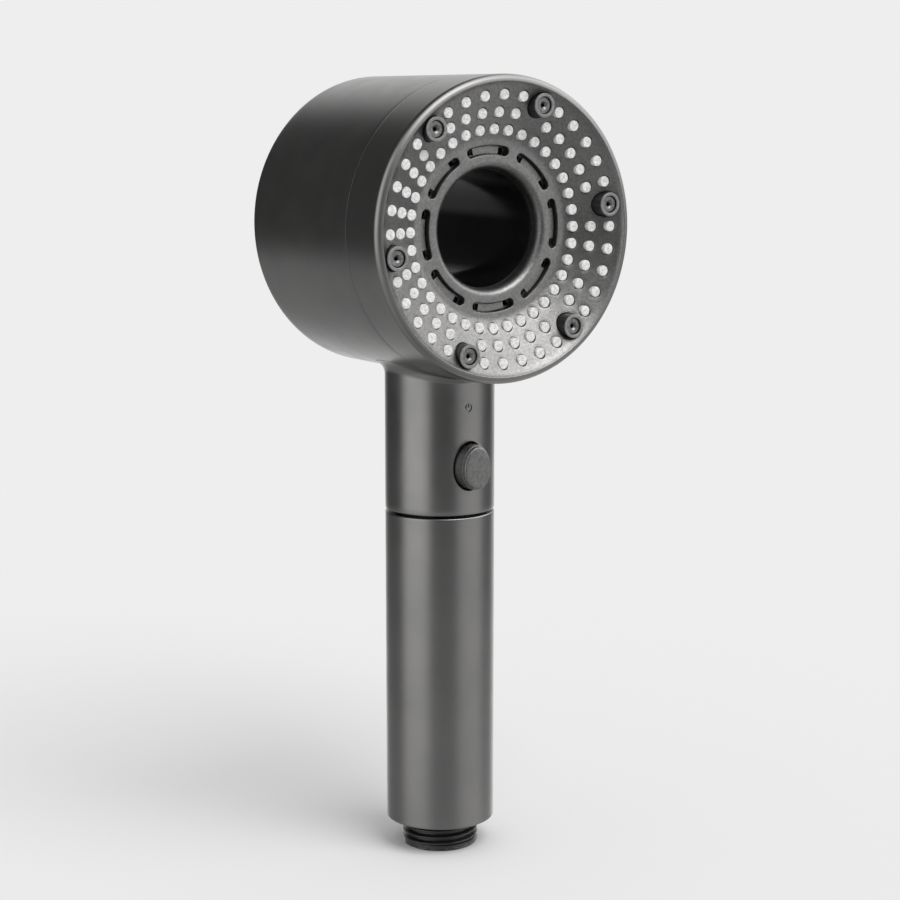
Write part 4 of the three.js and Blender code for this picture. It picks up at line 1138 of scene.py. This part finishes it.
face_shell().to_object("turning_face", FACE_PAINT, SPRAY, "painted_shell", ["face_shell"])
nozzle_mat().to_object("nozzles", FINISHES["silicone"], SPRAY, "silicone", ["nozzle_mat"])
jet_posts().to_object("jet_posts", POST_PLASTIC, SPRAY, "black_plastic", ["jet_manifold"])
for i, degrees in enumerate(JET_ANGLES, 1):
    jet_tip(degrees).to_object(f"jet_tip_{i}", TIP_PLASTIC, SPRAY, "black_plastic", [f"jet_insert_{i}"])
casing().to_object("casing", SHELL_PAINT, ROOT, "painted_shell", ["head_casing"])
rear_cover().to_object("back_cover", SHELL_PAINT, ROOT, "painted_shell", ["rear_cover"])
bore_liner().to_object("bore_tube", FINISHES["gloss_black"], ROOT, "gloss_black", ["bore_liner"])
stop_button().to_object("stop_key", BUTTON_PAINT, BUTTON, "painted_shell", ["stop_button"])
grip_sleeve().to_object("grip_tube", SHELL_PAINT, GRIP, "painted_shell", ["grip_sleeve"])
hose_connector().to_object(
    "hose_thread", FINISHES["black_plastic"], GRIP, "black_plastic", ["hose_connector"], sharp=50,
)
inlet_screen().to_object("woven_screen", FINISHES["steel"], GRIP, "steel", ["inlet_screen"])
neck_spigot().to_object(
    "neck_thread", FINISHES["black_plastic"], ROOT, "black_plastic", ["neck_spigot"], sharp=50,
)

# The pieces inside keep their CAD meshes and get their own finishes.
INNER_FINISH = {
    "inner_plastic": (
        "selector_plate", "diverter_plate", "water_chamber", "riser_tube", "valve_body", "valve_plug",
        "valve_spool", "filter_cap_top", "filter_core", "filter_cap_bottom", "flow_restrictor",
    ),
    "rubber": (
        "rain_port_seal", "jet_port_seal", "mist_port_seal", "riser_seal_lower", "riser_seal_upper",
        "spool_seal", "seat_washer", "spigot_seal", "filter_seal", "connector_gasket",
    ),
    "steel": (
        "retaining_ring", "detent_ball", "detent_spring", "return_spring",
        "chamber_screw_1", "chamber_screw_2", "chamber_screw_3",
    ),
    "filter_cotton": ("filter_media",),
}
for slot, nodes in INNER_FINISH.items():
    for name in nodes:
        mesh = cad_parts[name].data
        mesh.materials.clear()
        mesh.materials.append(FINISHES[slot])


# ---------------- studio


def azimuth_vector(degrees):
    """A level direction; 0 looks from the spray side and 90 from +X."""
    angle = math.radians(degrees)
    return math.sin(angle), -math.cos(angle), 0.0


class Studio(Nodes):
    """The world: a pale backdrop for the camera, even fill, and soft boxes in reflections."""

    def __init__(self):
        world = bpy.data.worlds.new("studio")
        bpy.context.scene.world = world
        world.cycles.sampling_method = "NONE"
        super().__init__(world)
        self.background = self.nodes["Background"]
        direction = self.nodes.new("ShaderNodeTexCoord").outputs["Generated"]
        self.height = self.split(direction)["Z"]
        level = self.vectors("MULTIPLY", direction, (1, 1, 0))["Vector"]
        self.level = self.vectors("NORMALIZE", level)["Vector"]

    def box(self, azimuth, half_width, soft, low, high, rise, power):
        """A soft box round an azimuth, between two heights (as sines of elevation)."""
        facing = self.vectors("DOT_PRODUCT", self.level, azimuth_vector(azimuth))["Value"]
        near, far = (math.cos(math.radians(min(half_width + side * soft, 180))) for side in (-1, 1))
        across = self.ramp(facing, far, near)
        above = self.ramp(self.height, low - rise, low + rise)
        below = self.ramp(self.height, high - rise, high + rise, 1.0, 0.0)
        return self.product(self.product(across, above), self.product(below, power))

    def finish(self, backdrop, fill, reflections):
        rays = self.nodes.new("ShaderNodeLightPath").outputs
        camera = self.product(rays["Is Camera Ray"], backdrop)
        diffuse = self.product(rays["Is Diffuse Ray"], fill)
        glossy = self.product(rays["Is Glossy Ray"], reflections)
        total = self.total(self.total(camera, diffuse), glossy)
        self.links.new(total, self.background.inputs["Strength"])
        self.background.inputs["Color"].default_value = (1.0, 1.0, 1.0, 1.0)


BACKDROP = 0.855
FILL = 0.66
FLOOR_ALBEDO = 0.8
FLOOR_REACH = 12.0           # metres from the middle to each side
SUN_ELEVATION = 55
SUN_TURN = 11
SUN_SIZE = 42
SUN_POWER = (BACKDROP / FLOOR_ALBEDO - FILL) * math.pi / math.sin(math.radians(SUN_ELEVATION))
SOFT_BOXES = (
    # azimuth, half width, softness, lowest, highest, rise, power
    (-86, 26, 14, -0.24, 0.75, 0.16, 1.68),    # big box on the left
    (35, 25, 16, -0.31, 0.3, 0.2, 0.82),       # fill panel on the right
    (74, 28, 18, 0.06, 0.6, 0.12, 2.0),        # high panel beside it
    (142, 26, 16, -0.45, 0.6, 0.2, 0.9),       # lit wall behind
    (60, 62, 30, 0.5, 0.76, 0.12, 2.5),        # front edge of the overhead box
    (30, 90, 30, 0.76, 2.0, 0.12, 2.0),        # and the box itself
    (85, 30, 20, -2.0, -0.5, 0.15, 0.3),       # its light back from the floor
    (180, 60, 30, -0.2, 2.0, 0.1, 0.065),      # the room behind
    (-170, 50, 30, -2.0, -0.25, 0.15, -0.25),  # where the floor behind is in shade
    (-10, 45, 25, -2.0, -0.5, 0.12, -0.32),    # and in front
)

studio = Studio()
# the pale floor below the horizon, and a trace of light above it
reflections = studio.ramp(studio.height, -0.34, -0.12, 0.66, 0.015)
for soft_box in SOFT_BOXES:
    reflections = studio.total(reflections, studio.box(*soft_box))
studio.finish(BACKDROP, FILL, reflections)

sun = add_object("sun", bpy.data.lights.new("sun", "SUN"))
sun.data.energy = SUN_POWER
sun.data.angle = math.radians(SUN_SIZE)
sun.rotation_euler = (math.radians(90 - SUN_ELEVATION), 0, math.radians(SUN_TURN))

floor_mesh = bpy.data.meshes.new("floor")
floor_corners = [(x * FLOOR_REACH, y * FLOOR_REACH, 0) for x, y in ((-1, -1), (1, -1), (1, 1), (-1, 1))]
floor_mesh.from_pydata(floor_corners, [], [(0, 1, 2, 3)])
floor = add_object("floor", floor_mesh)
floor.visible_glossy = False
floor_tone = (FLOOR_ALBEDO, FLOOR_ALBEDO, FLOOR_ALBEDO, 1)
floor_finish = Finish("floor", Base_Color=floor_tone, Roughness=1.0, Specular_IOR_Level=0.0)
floor_mesh.materials.append(floor_finish.material)

CAMERA_PLACE = (-307.6, -465.2, 205.2)
CAMERA_YAW = -33.764
CAMERA_PITCH = 9.509
CAMERA_LENS = 82.3
SENSOR_WIDTH = 36
camera = add_object("camera", bpy.data.cameras.new("camera"))
camera.location = Vector(CAMERA_PLACE) * MM
camera.rotation_euler = (math.radians(90 - CAMERA_PITCH), 0, math.radians(CAMERA_YAW))
camera.data.lens = CAMERA_LENS
camera.data.sensor_width = SENSOR_WIDTH
camera.data.clip_start = 0.01
bpy.context.scene.camera = camera

view = bpy.context.scene.view_settings
view.view_transform = "Standard"
view.look = "None"
